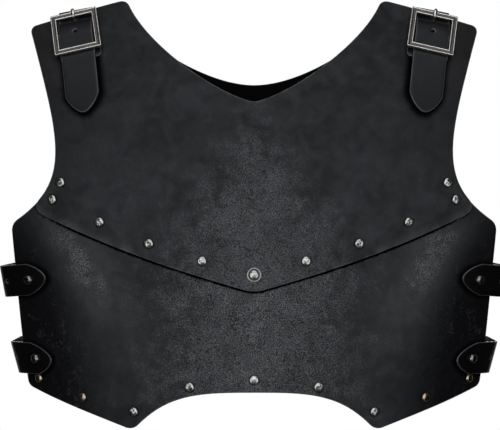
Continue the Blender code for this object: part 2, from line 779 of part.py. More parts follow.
class ShoulderStrap:
    """The right shoulder strap: its middle line from the front tip over the shoulder to the back."""

    def __init__(self):
        tip, buckle = Vector(place_of(STRAP_TIP_AT)), Vector(place_of(BUCKLE_AT))
        self.run = (tip - buckle) / (tip - buckle).y
        self.buckle = buckle
        self.bar_point, self.bar_normal = surface(buckle.x, buckle.y, FRONT, BREAST_LIFT)
        over = self.shoulder_z() + SHOULDER_RISE
        step = STRAP_LINE_STEP
        heights = [tip.y + step * i for i in range(int((over - tip.y) / step) + 1)] + [over]
        plain = [self.front_point(z, 0.0) for z in heights]
        lengths = lengths_of(plain)
        nearest = min(range(len(heights)), key=lambda n: abs(heights[n] - buckle.y))
        lifts = [smooth(STRAP_RISE, at - lengths[nearest])[0] for at in lengths]
        front = [self.front_point(z, lift) for z, lift in zip(heights, lifts)]
        back = self.back_line()
        over_top = [front[-1], back[0]]
        self.line = rounded([front, over_top, back], [SHOULDER_BEND] * 2, 5)
        self.lengths = lengths_of(self.line)
        self.length = self.lengths[-1]
        self.bar_distance = lengths_of(front)[nearest]
        crown_start = lengths_of(front)[-1] - SHOULDER_BEND
        self.crown_range = (crown_start, self.length - lengths_of(back)[-1] + SHOULDER_BEND)

    def shoulder_z(self):
        """The height of the plate's shoulder edge on the strap's middle line."""
        line = edge_curve(SHOULDER_EDGE)
        n = next(n for n in range(1, len(line)) if line[n].x > self.buckle.x)
        share = (self.buckle.x - line[n - 1].x) / (line[n].x - line[n - 1].x)
        return line[n - 1].lerp(line[n], share).y

    def front_point(self, z, lift):
        x = self.buckle.x + self.run.x * (z - self.buckle.y)
        point, normal = surface(x, z, FRONT, STRAP_ON_BREAST)
        return point + normal * lift

    def back_line(self):
        top, end = place_of(STRAP_BACK_TOP_AT), place_of(STRAP_BACK_END_AT)
        line = []
        for i in range(STRAP_BACK_STEPS + 1):
            x, z = (a + (b - a) * i / STRAP_BACK_STEPS for a, b in zip(top, end))
            line.append(surface(x, z, BACK, CLEARANCE)[0])
        return line

    def tangent(self, distance):
        step = SLOPE_STEP * 3
        return (self.at(distance + step) - self.at(distance - step)).normalized()

    def at(self, distance):
        return along(self.line, self.lengths, min(max(distance, 0.0), self.length))

    def across(self, distance):
        """Unit vector across the strap, turning evenly from the front plate's to the back plate's."""
        start, end = self.crown_range
        share = min(max((distance - start) / (end - start), 0.0), 1.0)
        ends = []
        for at, side in ((min(distance, start), FRONT), (max(distance, end), BACK)):
            point = self.at(at)
            normal = surface(point.x, point.z, side)[1]
            ends.append(self.tangent(at).cross(normal).normalized())
        mixed = ends[0].lerp(ends[1], share)
        run = self.tangent(distance)
        return (mixed - run * mixed.dot(run)).normalized()

    def point(self, across, distance):
        return self.at(distance) + self.across(distance) * across

    def fastener(self, name, distance, cap_radius, dome):
        normal = self.across(distance).cross(self.tangent(distance)).normalized()
        seat = self.at(distance) + normal * STRAP_WALL
        return Fastener(name, seat, normal, grip_at(seat, normal), cap_radius, dome)

    def buckle_frame(self):
        """Buckle space: X across, Y up the strap, Z off the plate, from its face under the centre bar."""
        below_bar = self.front_point(self.buckle.y - SLOPE_STEP, 0.0)
        above_bar = self.front_point(self.buckle.y + SLOPE_STEP, 0.0)
        return frame_at(self.bar_point, self.bar_normal, above_bar - below_bar)


def strap_rows(strap):
    """Distances along the shoulder strap where it bends, and evenly between them."""
    start, end = strap.crown_range
    steps = [SHOULDER_BEND * share for share in CROWN_ROWS]
    bends = [strap.bar_distance + from_bar for from_bar, lift in STRAP_RISE]
    bends += [start + step for step in steps] + [end - step for step in steps]
    plain = [i * STRAP_PLAIN_STEP for i in range(1, int(strap.length / STRAP_PLAIN_STEP) + 1)]
    return sorted(bends + [row for row in plain if all(abs(row - bend) > STRAP_STEP * 0.8 for bend in bends)])


def add_shoulder_straps(leather, metal, parts, cutters):
    strap = ShoulderStrap()
    outline = pointed_strip(SHOULDER_STRAP_WIDTH, strap.length, SHOULDER_STRAP_POINT)
    obj = add("shoulder_strap_right", sheet(outline, [], strap_rows(strap), strap.point), leather, parts)
    thicken(obj, STRAP_WALL, 1)
    rivets = []
    for i in range(2):
        distance = strap.length - BACK_RIVET_FROM_END - i * BACK_RIVET_PITCH
        rivets.append(strap.fastener(f"shoulder_rivet_right_{i + 1}", distance, RIVET_CAP_RADIUS, RIVET_DOME))
    cut_with(obj, cutter_of("shoulder_strap_rivet_holes", rivets, cutters))
    spare = strap.fastener("hole", strap.bar_distance, 0.0, 0.0)
    cut_with(obj, cutter_of("shoulder_strap_spare_hole", [spare], cutters, STRAP_HOLE_RADIUS))
    cut_with(obj, add_prong_slot_cutter(strap, cutters))
    apply_modifiers(obj)
    soften(obj)
    mirrored_copy(obj, "shoulder_strap_left", parts)
    rivets += [mirrored_fastener(r) for r in rivets]
    for rivet in rivets:
        rivet.build(metal, parts)
    return strap, rivets


def box_mesh(size, centre):
    bm = bmesh.new()
    bmesh.ops.create_cube(bm, size=1.0)
    bmesh.ops.scale(bm, vec=size, verts=bm.verts[:])
    bmesh.ops.translate(bm, vec=centre, verts=bm.verts[:])
    mesh = bpy.data.meshes.new("box")
    bm.to_mesh(mesh)
    bm.free()
    return mesh


def add_box_cutter(name, size, centre, matrix, cutters):
    cutter = add(name, box_mesh(size, centre), None, cutters, matrix)
    cutter.hide_render = True
    cutter.display_type = "WIRE"
    return cutter


def add_prong_slot_cutter(strap, cutters):
    """The used hole, drawn into a slot where the prong comes up through the strap."""
    top_bar = BUCKLE_SIDE / 2 - BUCKLE_BAR
    size = (USED_HOLE_WIDTH, USED_HOLE_LENGTH, CUTTER_DEPTH)
    centre = (0, top_bar - USED_HOLE_FROM_TOP_BAR, BUCKLE_LIFT)
    return add_box_cutter("used_hole", size, centre, strap.buckle_frame(), cutters)


def centre_bar_mesh():
    """The buckle's centre bar, with a foot at each end that reaches up into the frame."""
    bm = bmesh.new()
    depth = BUCKLE_SIDE - BUCKLE_BAR
    bmesh.ops.create_cone(
        bm,
        cap_ends=True,
        segments=RIVET_SIDES,
        radius1=CENTRE_BAR_RADIUS,
        radius2=CENTRE_BAR_RADIUS,
        depth=depth,
        matrix=Matrix.Translation((0, 0, CENTRE_BAR_LIFT)) @ Matrix.Rotation(math.pi / 2, 4, "Y"),
    )
    foot_bottom, foot_top = CENTRE_BAR_LIFT - CENTRE_BAR_RADIUS, BUCKLE_LIFT + BAR_FOOT_BITE
    for end in (-1, 1):
        foot = bmesh.ops.create_cube(bm, size=1.0)["verts"]
        bmesh.ops.scale(bm, vec=(BAR_FOOT_BREADTH, BAR_FOOT_LENGTH, foot_top - foot_bottom), verts=foot)
        bmesh.ops.translate(bm, vec=(end * depth / 2, 0, (foot_top + foot_bottom) / 2), verts=foot)
    mesh = bpy.data.meshes.new("centre_bar")
    bm.to_mesh(mesh)
    bm.free()
    return mesh


def add_buckle(strap, material, parts, cutters):
    matrix = strap.buckle_frame()
    middle = (0, 0, BUCKLE_LIFT + BUCKLE_WALL / 2)
    block = box_mesh((BUCKLE_SIDE, BUCKLE_SIDE, BUCKLE_WALL), middle)
    buckle = add("buckle_right", block, material, parts, matrix)
    window = BUCKLE_SIDE - 2 * BUCKLE_BAR
    window_size = (window, window, BUCKLE_WALL * 2)
    cut_with(buckle, add_box_cutter("buckle_window", window_size, middle, matrix, cutters))
    bevel = buckle.modifiers.new("edges", "BEVEL")
    bevel.width = BUCKLE_EDGE
    bevel.segments = 1
    bar = add("centre_bar", centre_bar_mesh(), None, cutters, matrix)
    bar.hide_render = True
    bar.display_type = "WIRE"
    cut_with(buckle, bar, "UNION")
    apply_modifiers(buckle)
    soften(buckle)
    mirrored_copy(buckle, "buckle_left", parts)


def add_prong(strap, material, parts):
    """The tongue: a wire looped round the centre bar, up through the used hole and over the top bar."""
    loop = CENTRE_BAR_REACH + PRONG_RADIUS
    turns = [math.radians(turn - 90) for turn in PRONG_LOOP]
    points = [(loop * math.sin(turn), CENTRE_BAR_LIFT + loop * math.cos(turn)) for turn in turns]
    top_bar = BUCKLE_SIDE / 2 - BUCKLE_BAR
    rise = BUCKLE_LIFT + BUCKLE_WALL + CLEARANCE + PRONG_RADIUS - CENTRE_BAR_LIFT
    for over_window, over_bar, risen in PRONG_RUN:
        points.append((top_bar * over_window + BUCKLE_BAR * over_bar, CENTRE_BAR_LIFT + rise * risen))
    curve = bpy.data.curves.new("prong", "CURVE")
    curve.dimensions = "3D"
    spline = curve.splines.new("POLY")
    spline.points.add(len(points) - 1)
    for knot, (y, z) in zip(spline.points, points):
        knot.co = (0, y, z, 1)
    curve.bevel_depth = PRONG_RADIUS
    curve.bevel_resolution = 2
    curve.use_fill_caps = True
    guide = bpy.data.objects.new("prong_wire", curve)
    parts.objects.link(guide)
    mesh = evaluated_mesh(guide)
    bpy.data.objects.remove(guide)
    bm = bmesh.new()
    bm.from_mesh(mesh)
    bmesh.ops.remove_doubles(bm, verts=bm.verts[:], dist=0.00001)
    bmesh.ops.scale(bm, vec=(PRONG_FLATTENING, 1, 1), verts=bm.verts[:])
    bm.to_mesh(mesh)
    bm.free()
    prong = add("prong_right", mesh, material, parts, strap.buckle_frame())
    soften(prong)
    mirrored_copy(prong, "prong_left", parts)


def add_chape(strap, material, metal, parts, cutters):
    """The tab: folded round the centre bar, riveted to the breast plate, its wider tail below the buckle."""
    outer = CENTRE_BAR_REACH + CHAPE_WALL
    arc = [math.radians(a) for a in range(-90, 91, 30)]
    bend = [Vector((0, outer * math.cos(a), CENTRE_BAR_LIFT + outer * math.sin(a))) for a in arc]
    low = CLEARANCE
    tail = [Vector((0, -from_bar, low)) for from_bar in (CHAPE_TAIL, CHAPE_TAIL_FROM, *CHAPE_ROWS_FROM_BAR)]
    top = low + CHAPE_WALL + CLEARANCE + CHAPE_WALL
    back = [Vector((0, y, top)) for y in (-CHAPE_STEP, -CHAPE_RETURN)]
    line = [*tail, *bend, *back]
    lengths = lengths_of(line)
    half, tail_half = BUCKLE_SIDE / 2 - BUCKLE_BAR - CLEARANCE, CHAPE_TAIL_WIDTH / 2
    narrow = CHAPE_TAIL - CHAPE_TAIL_FROM
    outer_side, inner_side = tail_half - CHAPE_TAIL_SHIFT, -tail_half - CHAPE_TAIL_SHIFT
    corners = [
        (outer_side, 0),
        (outer_side, narrow),
        (half, narrow),
        (half, lengths[-1]),
        (-half, lengths[-1]),
        (-half, narrow),
        (inner_side, narrow),
        (inner_side, 0),
    ]
    corners = [Vector((0, 0, 0)), *[Vector((*c, 0)) for c in corners], Vector((0, 0, 0))]
    cuts = [CHAPE_CORNER, 0, 0, 0, 0, 0, 0, CHAPE_CORNER]
    outline = rounded([list(pair) for pair in zip(corners, corners[1:])], cuts)[:-1]
    frame = strap.buckle_frame()

    def place(across, distance):
        point = along(line, lengths, distance)
        return Vector((across, point.y, point.z - sag(strap, frame, across, point.y)))

    rows = [at for at in lengths if narrow / 2 < at < lengths[-1] - SHEET_NEARNESS]
    obj = add("chape_right", sheet(outline, CHAPE_COLUMNS, rows, place), material, parts, frame)
    thicken(obj, CHAPE_WALL, 1)
    rivet_point = frame @ Vector((0, -CHAPE_RIVET_FROM_BAR, top))
    normal = strap.bar_normal
    grip = grip_at(rivet_point, normal, CLEARANCE)
    rivet = Fastener("chape_rivet_right", rivet_point, normal, grip, RIVET_BACK_RADIUS, FLAT_HEAD)
    cut_with(obj, cutter_of("chape_rivet_hole", [rivet], cutters))
    slot_width = 2 * (PRONG_RADIUS * PRONG_FLATTENING + CLEARANCE * 2)
    slot_length = 2 * (outer + CHAPE_WALL)
    slot_size = (slot_width, slot_length, CUTTER_DEPTH)
    cut_with(obj, add_box_cutter("prong_slot", slot_size, (0, 0, CENTRE_BAR_LIFT), frame, cutters))
    apply_modifiers(obj)
    soften(obj)
    mirrored_copy(obj, "chape_left", parts)
    rivets = [rivet, mirrored_fastener(rivet)]
    for each in rivets:
        each.build(metal, parts)
    return rivets


def sag(strap, frame, across, up):
    """How far the breast plate falls away below the buckle's own plane at a place in it."""
    spot = frame @ Vector((across, up, 0))
    on_plate = surface(spot.x, spot.z, FRONT, BREAST_LIFT)[0]
    return max(0.0, (spot - on_plate).dot(strap.bar_normal))


def build():
    clear_scene()
    parts = new_collection("leather_chest_armour")
    cutters = new_collection("cutters", helper=True)
    plate_leather = new_material("plate_leather", (0.020, 0.021, 0.023), 0.55)
    strap_leather = new_material("strap_leather", (0.012, 0.012, 0.013), 0.45)
    steel = new_material("rivet_steel", (0.62, 0.61, 0.58), 0.25, 1.0)
    antique = new_material("buckle_metal", (0.34, 0.33, 0.31), 0.35, 1.0)

    strap, shoulder_rivets = add_shoulder_straps(strap_leather, steel, parts, cutters)
    chape_rivets = add_chape(strap, strap_leather, steel, parts, cutters)
    add_buckle(strap, antique, parts, cutters)
    add_prong(strap, antique, parts)
    studs, side_rivets = add_side_straps(strap_leather, steel, parts, cutters)

    seam = row_of_rivets("seam", SEAM_RIVETS, BREAST_LIFT)
    joining = arm_rivets() + seam
    hem = row_of_rivets("hem", HEM_RIVETS, 0.0)
    for rivet in joining + hem:
        rivet.build(steel, parts)
    add_seam_ring(seam, antique, parts)

    plates = (
        ("breast_plate", breast_outline(), FRONT, BREAST_LIFT, joining + chape_rivets),
        ("belly_plate", belly_outline(), FRONT, 0.0, joining + hem + studs),
        ("back_plate", back_outline(), BACK, 0.0, side_rivets + shoulder_rivets),
    )
    for name, outline, side, lift, fasteners in plates:
        add_plate(name, outline, side, lift, fasteners, plate_leather, parts, cutters)


build()
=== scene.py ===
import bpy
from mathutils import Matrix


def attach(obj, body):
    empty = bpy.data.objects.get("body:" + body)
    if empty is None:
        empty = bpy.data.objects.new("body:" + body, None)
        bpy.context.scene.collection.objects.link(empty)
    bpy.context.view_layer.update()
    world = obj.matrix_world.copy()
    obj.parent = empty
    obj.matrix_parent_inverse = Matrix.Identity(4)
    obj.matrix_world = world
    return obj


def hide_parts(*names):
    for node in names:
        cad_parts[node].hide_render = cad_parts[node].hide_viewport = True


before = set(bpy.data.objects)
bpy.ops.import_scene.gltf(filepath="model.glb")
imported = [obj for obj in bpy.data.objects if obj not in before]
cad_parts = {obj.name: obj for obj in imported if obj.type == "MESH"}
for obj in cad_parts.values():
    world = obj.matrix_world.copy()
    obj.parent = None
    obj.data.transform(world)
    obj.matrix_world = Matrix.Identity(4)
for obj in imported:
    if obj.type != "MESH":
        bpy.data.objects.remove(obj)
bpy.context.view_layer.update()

import copy
import math

import bmesh
import bpy
import numpy as np
from mathutils import Matrix, Vector
from mathutils.geometry import delaunay_2d_cdt
from mathutils.kdtree import KDTree

FRONT, BACK = -1, 1
UP = np.array((0.0, 0.0, 1.0))
MIRROR = np.array((-1.0, 1.0, 1.0))
WHITE = (1.0, 1.0, 1.0, 1.0)

# Sizes of the whole armour, in metres
HALF_BREADTH = 0.228
PLATE_HEIGHT = 0.404
REACH = {FRONT: 0.135, BACK: 0.108}
PLATE_WALL = 0.0026
CLEARANCE = 0.0003
BREAST_LIFT = PLATE_WALL + CLEARANCE
STRAP_ON_BREAST = BREAST_LIFT + CLEARANCE

# Body form: how far down the plate as a share of PLATE_HEIGHT, then half the breadth of the rounding as a
# share of HALF_BREADTH, and its depth and the set-back of its middle as shares of the reach
SECTIONS = {
    FRONT: (
        # down, breadth, depth, set_back
        (0.00, 1.40, 0.68, 0.520),
        (0.23, 1.38, 0.77, 0.163),
        (0.45, 1.32, 0.90, 0.008),
        (0.65, 1.15, 1.05, 0.000),
        (0.87, 1.10, 1.22, 0.015),
        (1.05, 1.08, 1.24, 0.060),
    ),
    BACK: (
        (0.00, 1.40, 0.75, 0.600),
        (0.23, 1.38, 0.80, 0.170),
        (0.45, 1.32, 0.85, 0.000),
        (0.65, 1.15, 0.90, 0.030),
        (0.87, 1.10, 0.90, 0.120),
        (1.05, 1.08, 0.88, 0.150),
    ),
}

# Soft waves of the leather, with the direction in degrees, and the dimples under the rivets
WAVES = (
    # length, direction, phase, height
    (0.170, 12.0, 0.4, 0.00030),
    (0.118, 74.0, 2.1, 0.00024),
    (0.083, -38.0, 4.4, 0.00015),
    (0.059, 31.0, 1.2, 0.00009),
    (0.043, -66.0, 5.3, 0.00006),
    (0.031, 53.0, 3.1, 0.00004),
)
DIMPLE_DEPTH = 0.00060
DIMPLE_RADIUS = 0.0062

# Edges of the plates as cubic curves of four points: across as a share of HALF_BREADTH, down as a share of
# PLATE_HEIGHT
NECK_EDGE = ((0.000, 0.250), (0.167, 0.228), (0.464, 0.101), (0.531, 0.000))
SHOULDER_EDGE = ((0.531, 0.000), (0.667, 0.019), (0.802, 0.042), (0.938, 0.064))
ARM_EDGE = ((0.938, 0.064), (0.766, 0.363), (0.743, 0.438), (1.000, 0.528))
SIDE_EDGE = ((1.000, 0.528), (0.994, 0.639), (0.982, 0.784), (0.947, 0.910))
OUTER_HEM = ((0.947, 0.910), (0.799, 0.943), (0.651, 0.968), (0.493, 1.000))
HEM_ARCH = ((0.493, 1.000), (0.354, 0.913), (0.227, 0.909), (0.000, 0.909))
BACK_NECK_EDGE = ((0.000, 0.177), (0.180, 0.177), (0.418, 0.105), (0.560, 0.025))
BACK_SHOULDER_EDGE = ((0.560, 0.025), (0.685, 0.042), (0.810, 0.064), (0.935, 0.088))
BACK_ARM_EDGE = ((0.935, 0.088), (0.766, 0.363), (0.743, 0.438), (1.000, 0.528))

# The breast plate's seam and the belly plate's top under it: how far down they meet the arm edge, then the
# rest of their curve to the middle
SEAM_SIDE_DOWN = 0.4935
SEAM_INNER = ((0.541, 0.594), (0.326, 0.630), (0.000, 0.683))
UNDERLAP_SIDE_DOWN = 0.402
UNDERLAP_INNER = ((0.620, 0.460), (0.330, 0.545), (0.000, 0.614))

# How much of the edges each rounded corner takes up
CORNER_ROUNDING = 0.007
SEAM_CORNER_ROUNDING = 0.0145
HEM_CORNER_ROUNDING = 0.0045
TIP_ROUNDING = 0.004
SEAM_TIP_ROUNDING = 0.009

# The pale, speckled wedge down the middle of the front, rubbing with a painted highlight over it, and how
# strongly the breast plate is speckled
RUBBED_AND_HIGHLIT_WEDGE = (
    # down, half_width, strength
    (0.20, 0.028, 0.34),
    (0.28, 0.042, 0.50),
    (0.36, 0.061, 0.68),
    (0.47, 0.078, 0.84),
    (0.56, 0.084, 0.97),
    (0.64, 0.097, 1.00),
    (0.74, 0.101, 0.96),
    (0.88, 0.100, 0.95),
    (0.99, 0.092, 0.88),
)
BREAST_SPECKLE = 0.7

# The band down either flank of the lower plate, a painted highlight, the painted sheen round it and the
# painted
# shade on the dark leather outside: their place at FLANK_TOP, how far they lean in over the plate's height,
# their width, and where down the plate they come or go and over how much
FLANK_TOP = 0.53
FLANK_BAND_X = 0.181
FLANK_BAND_SLOPE = 0.217
FLANK_BAND_WIDTH = 0.022
FLANK_SHEEN_WIDTH = 0.034
FLANK_DARK_X = 0.197
FLANK_DARK_SLOPE = 0.125
FLANK_DARK_WIDTH = 0.040
BAND_START = (0.50, 0.06)
BAND_END = (0.77, -0.12)
SHEEN_END = (0.97, -0.22)
DARK_START = (0.48, 0.16)

# The black crease on the belly plate along the breast plate's edge, painted shade with some dirt, fainter
# near the arms, and the lines of points that make the mesh fine enough for it
CREASE_WIDTH = 0.0031
CREASE_STEPS = (0.1, 0.3, 0.55, 0.8, 1.0)
CREASE_FADE_X = 0.205
CREASE_FADE = 0.035
CREASE_FAINTEST = 0.4

# The rubbed border of the breast plate beside the outer parts of its seam
BURNISHED_FROM = 0.115
BURNISHED_WIDTH = 0.0075
BURNISHED_STRENGTH = 0.75

# The painted shade and dirt round each rivet: its outer radius, the fade at its edge, and the circles of
# points for it
RIVET_CREASE = 0.0053
RIVET_CREASE_FADE = 0.0009
RIVET_GRIME_AND_SHADE = 0.75
RIVET_SURROUND = (0.0040, 0.0046, 0.0051, 0.0056, 0.0064, 0.0085)

# The shade that a strap throws on the plate: its reach, its shift across and up, and its upper end
STRAP_SHADE = 0.0066
SHADE_SHIFT = (-0.0012, -0.0008)
SHADE_TOP = -0.052

# Places where the black has worn to brown
BROWNED = (
    # across, down, radius
    (0.95, 0.10, 0.026),
    (0.90, 0.20, 0.018),
    (0.84, 0.93, 0.022),
)

# Rivets by place: shares across and down, as for the edges
ARM_RIVETS = ((0.784, 0.433), (0.819, 0.472))
HEM_RIVETS = ((0.896, 0.891), (0.703, 0.929), (0.488, 0.957), (0.259, 0.897), (0.000, 0.880))
SEAM_RIVETS = ((0.623, 0.5235), (0.422, 0.572), (0.208, 0.611), (0.000, 0.642))
RIVET_RADIUS = 0.0045
RIVET_DOME = 0.0023
RIVET_RIM = 0.00045
STUD_RADIUS = 0.0047
STUD_DOME = 0.0030
FLAT_HEAD_RADIUS = 0.0042
FLAT_HEAD = 0.0007
SHANK_RADIUS = 0.0017
RIVET_HOLE_RADIUS = 0.0020
WASHER_RADIUS = 0.0042
WASHER_WALL = 0.0009

# Looks of the caps: the rivets of warmer metal, the ones whose middle is less dull, how far out the dull
# middle, tarnish and a painted dark reflection, reaches in radii and over how much it fades
WARM_RIVETS = {"hem_rivet_1", "hem_rivet_2", "hem_rivet_8", "hem_rivet_9"}
PALE_RIVETS = {"seam_rivet_3", "seam_rivet_4", "seam_rivet_5", "hem_rivet_5"}
LESS_TARNISH_AND_REFLECTION = 0.6
TARNISH_AND_REFLECTION_MIDDLE = 0.74
TARNISH_AND_REFLECTION_FADE = 0.14

# Dents of a cap: the ranges of their places across and up and of their reach, in radii, and of their
# heights, in domes, and the range of the angle that a cap is turned by
DENT_COUNT = 7
DENT_RANGES = ((-0.6, 0.6), (-0.6, 0.6), (0.16, 0.30), (-0.07, 0.04))
CAP_TURN = (0, 6)

# Section of a cap: where its dome starts and ends as angles from its top, the dome's share of the radius and
# how full it is, its edge as shares of the radius and of the rim, and the washer as shares of its own sizes
DOME_ANGLES = (0.12, math.pi / 2 * 0.97)
DOME_BREADTH = 0.965
DOME_FULLNESS = 0.7
RIM_SECTION = ((0.99, 1.0), (1.0, 0.6), (0.985, 0.0))
WASHER_SECTION = ((1.0, 0.0), (1.0, 0.5), (0.9, 0.85), (0.55, 1.0), (0.45, 0.75))
WASHER_DARKNESS = 0.8

# Section of the ring round the middle seam rivet: its radius in radii of its hole or of its rim, its height
# as a share of its wall, and how dark it is there
RING_RADIUS = 0.0069
RING_HOLE_RADIUS = 0.0050
RING_WALL = 0.0010
RING_SECTION = (
    # of_hole, of_rim, height, recess
    (0.60, 0.000, 0.05, 0.9),
    (1.00, 0.000, 0.35, 0.8),
    (1.06, 0.000, 0.70, 0.2),
    (1.15, 0.000, 0.95, 0.0),
    (0.00, 0.880, 1.00, 0.0),
    (0.00, 0.940, 0.80, 0.1),
    (0.00, 0.985, 0.45, 0.5),
    (0.00, 1.000, 0.00, 0.9),
)

# Straps, with places on the plates as shares across and down
STRAP_WALL = 0.0020
SHOULDER_STRAP_WIDTH = 0.032
SHOULDER_STRAP_POINT = 0.0188
SHOULDER_BEND = 0.0013
SHOULDER_RISE = 0.0003
STRAP_TIP_AT = (0.689, 0.274)
BUCKLE_AT = (0.731, 0.089)
STRAP_BACK_TOP_AT = (0.692, 0.036)
STRAP_BACK_END_AT = (0.655, 0.235)
SIDE_STRAP_WIDTH = 0.030
SIDE_STRAP_POINT = 0.0235
SIDE_STRAP_LIFT = 0.0007
SIDE_STRAP_BACK_TAIL = 0.052
SIDE_STRAP_ON_PLATE = 0.072
SIDE_STUD_FROM_TIP = 0.0213
SIDE_HOLE_PITCH = 0.029
SIDE_HOLE_COUNT = 3
STRAP_HOLE_RADIUS = 0.0019
STRAP_FOLD = 0.007
STRAP_END_ROUNDING = 0.006
STRAP_TIP_ROUNDING = 0.0028
BACK_RIVET_FROM_END = 0.014
BACK_RIVET_PITCH = 0.019

# Half of a strap's point, from its tip to its side, as shares of its half width and of its length
STRAP_POINT_CURVE = ((0.00, 0.00), (0.50, 0.12), (0.88, 0.62), (1.00, 1.00))

# Side straps: height of the middle as a share of PLATE_HEIGHT, how far the fold stands out from the plate's
# side at the strap's upper and lower edge as shares of HALF_BREADTH, the length from the fold to the tip, and
# how much lower than the tip the fold hangs
LOWER_STRAP_OVER_RIVET = SIDE_STRAP_WIDTH / 2 + RIVET_RADIUS + CLEARANCE
SIDE_STRAPS = (
    # name, down, upper_stand, lower_stand, front_tail, droop
    ("upper", 0.6533, 0.063, 0.052, 0.0575, 0.0042),
    ("lower", HEM_RIVETS[0][1] - LOWER_STRAP_OVER_RIVET / PLATE_HEIGHT, 0.052, 0.031, 0.0545, 0.0013),
)

# Lift of the shoulder strap over the chape and centre bar, by distance up the strap from the bar
STRAP_RISE = (
    # along, lift
    (-0.0560, 0.0000),
    (-0.0420, 0.0007),
    (-0.0300, 0.0016),
    (-0.0225, 0.0018),
    (-0.0175, 0.0018),
    (-0.0130, 0.0036),
    (-0.0090, 0.0047),
    (-0.0035, 0.0065),
    (0.0065, 0.0065),
    (0.0115, 0.0052),
    (0.0150, 0.0023),
    (0.0185, 0.0003),
    (0.0230, 0.0000),
)

# Buckles, a little askew on their straps
BUCKLE_SIDE = 0.045
BUCKLE_BAR = 0.0055
BUCKLE_WALL = 0.0034
BUCKLE_LIFT = 0.0048
BUCKLE_CORNER = 0.0007
BUCKLE_TURN = math.radians(2.5)
BUCKLE_SHIFT = 0.0006
CENTRE_BAR_RADIUS = 0.0011
CENTRE_BAR_LIFT = 0.0035
BAR_FOOT_BREADTH = 0.00385
BAR_FOOT_LENGTH = 0.0040
BAR_FOOT_BITE = 0.2
PRONG_RADIUS = 0.0008
PRONG_FLATTENING = 1.8
USED_HOLE_WIDTH = 0.0034
USED_HOLE_LENGTH = 0.0052
USED_HOLE_FROM_TOP_BAR = 0.0008

# Chapes, measured from the centre bar, and the roundings of their corners from the tail's end up
CHAPE_WALL = 0.0013
CHAPE_STEP = 0.005
CHAPE_RETURN = 0.013
CHAPE_TAIL = 0.0275
CHAPE_TAIL_FROM = 0.0175
CHAPE_TAIL_WIDTH = 0.039
CHAPE_TAIL_SHIFT = 0.002
CHAPE_RIVET_FROM_BAR = 0.009
CHAPE_SLOT_LENGTH = 0.0085
CHAPE_CUTS = (0.004, 0.0015, 0.0008, 0.001)

# The buckle bar's section from the outside in: shares of the bar's breadth and of its thickness, and how deep
# the place lies in the hatched channel
BUCKLE_SECTION = (
    # inward, height, channel
    (0.00, 0.00, 0.0),
    (0.00, 0.66, 0.0),
    (0.02, 0.90, 0.0),
    (0.04, 0.98, 0.0),
    (0.12, 1.00, 0.0),
    (0.23, 0.98, 0.0),
    (0.27, 0.68, 1.0),
    (0.32, 0.56, 1.0),
    (0.50, 0.60, 1.0),
    (0.66, 0.56, 1.0),
    (0.71, 0.66, 1.0),
    (0.75, 0.95, 0.0),
    (0.84, 0.98, 0.0),
    (0.95, 0.95, 0.0),
    (0.98, 0.80, 0.0),
    (1.00, 0.55, 0.0),
    (1.00, 0.00, 0.0),
)
BUCKLE_CORNER_CLOSING = 0.6
HATCH_PITCH = 0.0011
HATCH_HEIGHT = 0.00030
HATCH_STEP = 0.00035

# How dark the buckle is: less so on the hatching, more so below this height, and its centre bar, a painted
# shade under the strap
HATCH_SHINE = 0.35
BUCKLE_FOOT = 0.5
BUCKLE_FOOT_DARKNESS = 0.25
CENTRE_BAR_DARKNESS = 0.3

# The prong's loop round the centre bar in degrees, then its run: how far over the window, how far over the
# top bar, how much of its rise from the centre bar to the top bar, its thickness as a share, and how dark, a
# painted shade under the strap
PRONG_LOOP = range(60, -211, -15)
PRONG_RUN = (
    # window, bar, rise, thickness, recess
    (0.40, 0.0, 0.00, 1.00, 1.0),
    (0.62, 0.0, 0.02, 1.00, 1.0),
    (0.82, 0.0, 0.08, 1.00, 1.0),
    (0.91, 0.0, 0.30, 1.00, 1.0),
    (0.96, 0.0, 0.86, 1.00, 0.6),
    (1.00, 0.2, 1.02, 1.06, 0.0),
    (1.00, 0.7, 1.04, 1.22, 0.0),
    (1.00, 1.15, 1.02, 1.22, 0.0),
    (1.00, 1.34, 0.97, 1.00, 0.0),
    (1.00, 1.45, 0.92, 0.60, 0.0),
)

# Colours of the leather as linear red, green and blue
CLOUD_DARK = (0.0054, 0.0059, 0.0066)
CLOUD_LIGHT = (0.0180, 0.0188, 0.0208)
# Pale grey of the wedge: rubbing, with a painted highlight
RUBBED_AND_HIGHLIT_GREY = (0.070, 0.073, 0.080)
# A painted sheen round the flank bands
SHEEN_GREY = (0.036, 0.037, 0.039)
# Burnish on the breast plate's border, and a painted highlight on the flanks
BURNISH_AND_HIGHLIGHT_GREY = (0.092, 0.095, 0.100)
# Painted glint highlights
PAINTED_GLINT_GREY = (0.225, 0.230, 0.242)
PIT_BLACK = (0.002, 0.002, 0.003)
WORN_BROWN = (0.0200, 0.0135, 0.0120)
# Painted shade on the flanks
FLANK_SHADE_BLACK = (0.0034, 0.0032, 0.0043)
SCUFF_VIOLET = (0.060, 0.058, 0.086)
# Black of the painted shade in the creases, round the rivets and beside the straps
CREASE_BLACK = (0.0006, 0.0006, 0.0008)
# Light edges: burnish with a painted highlight
WORN_AND_HIGHLIT_EDGE = (0.230, 0.237, 0.250)
STRAP_DARK = (0.0060, 0.0062, 0.0074)
STRAP_LIGHT = (0.0100, 0.0104, 0.0122)
STRAP_SPECKLE = (0.026, 0.027, 0.031)
# Painted shade that makes the side straps near black
STRAP_BLACK = (0.0026, 0.0023, 0.0032)
# Light strap edges: burnish with a painted highlight
STRAP_EDGE_WORN_AND_HIGHLIT = (0.175, 0.178, 0.186)

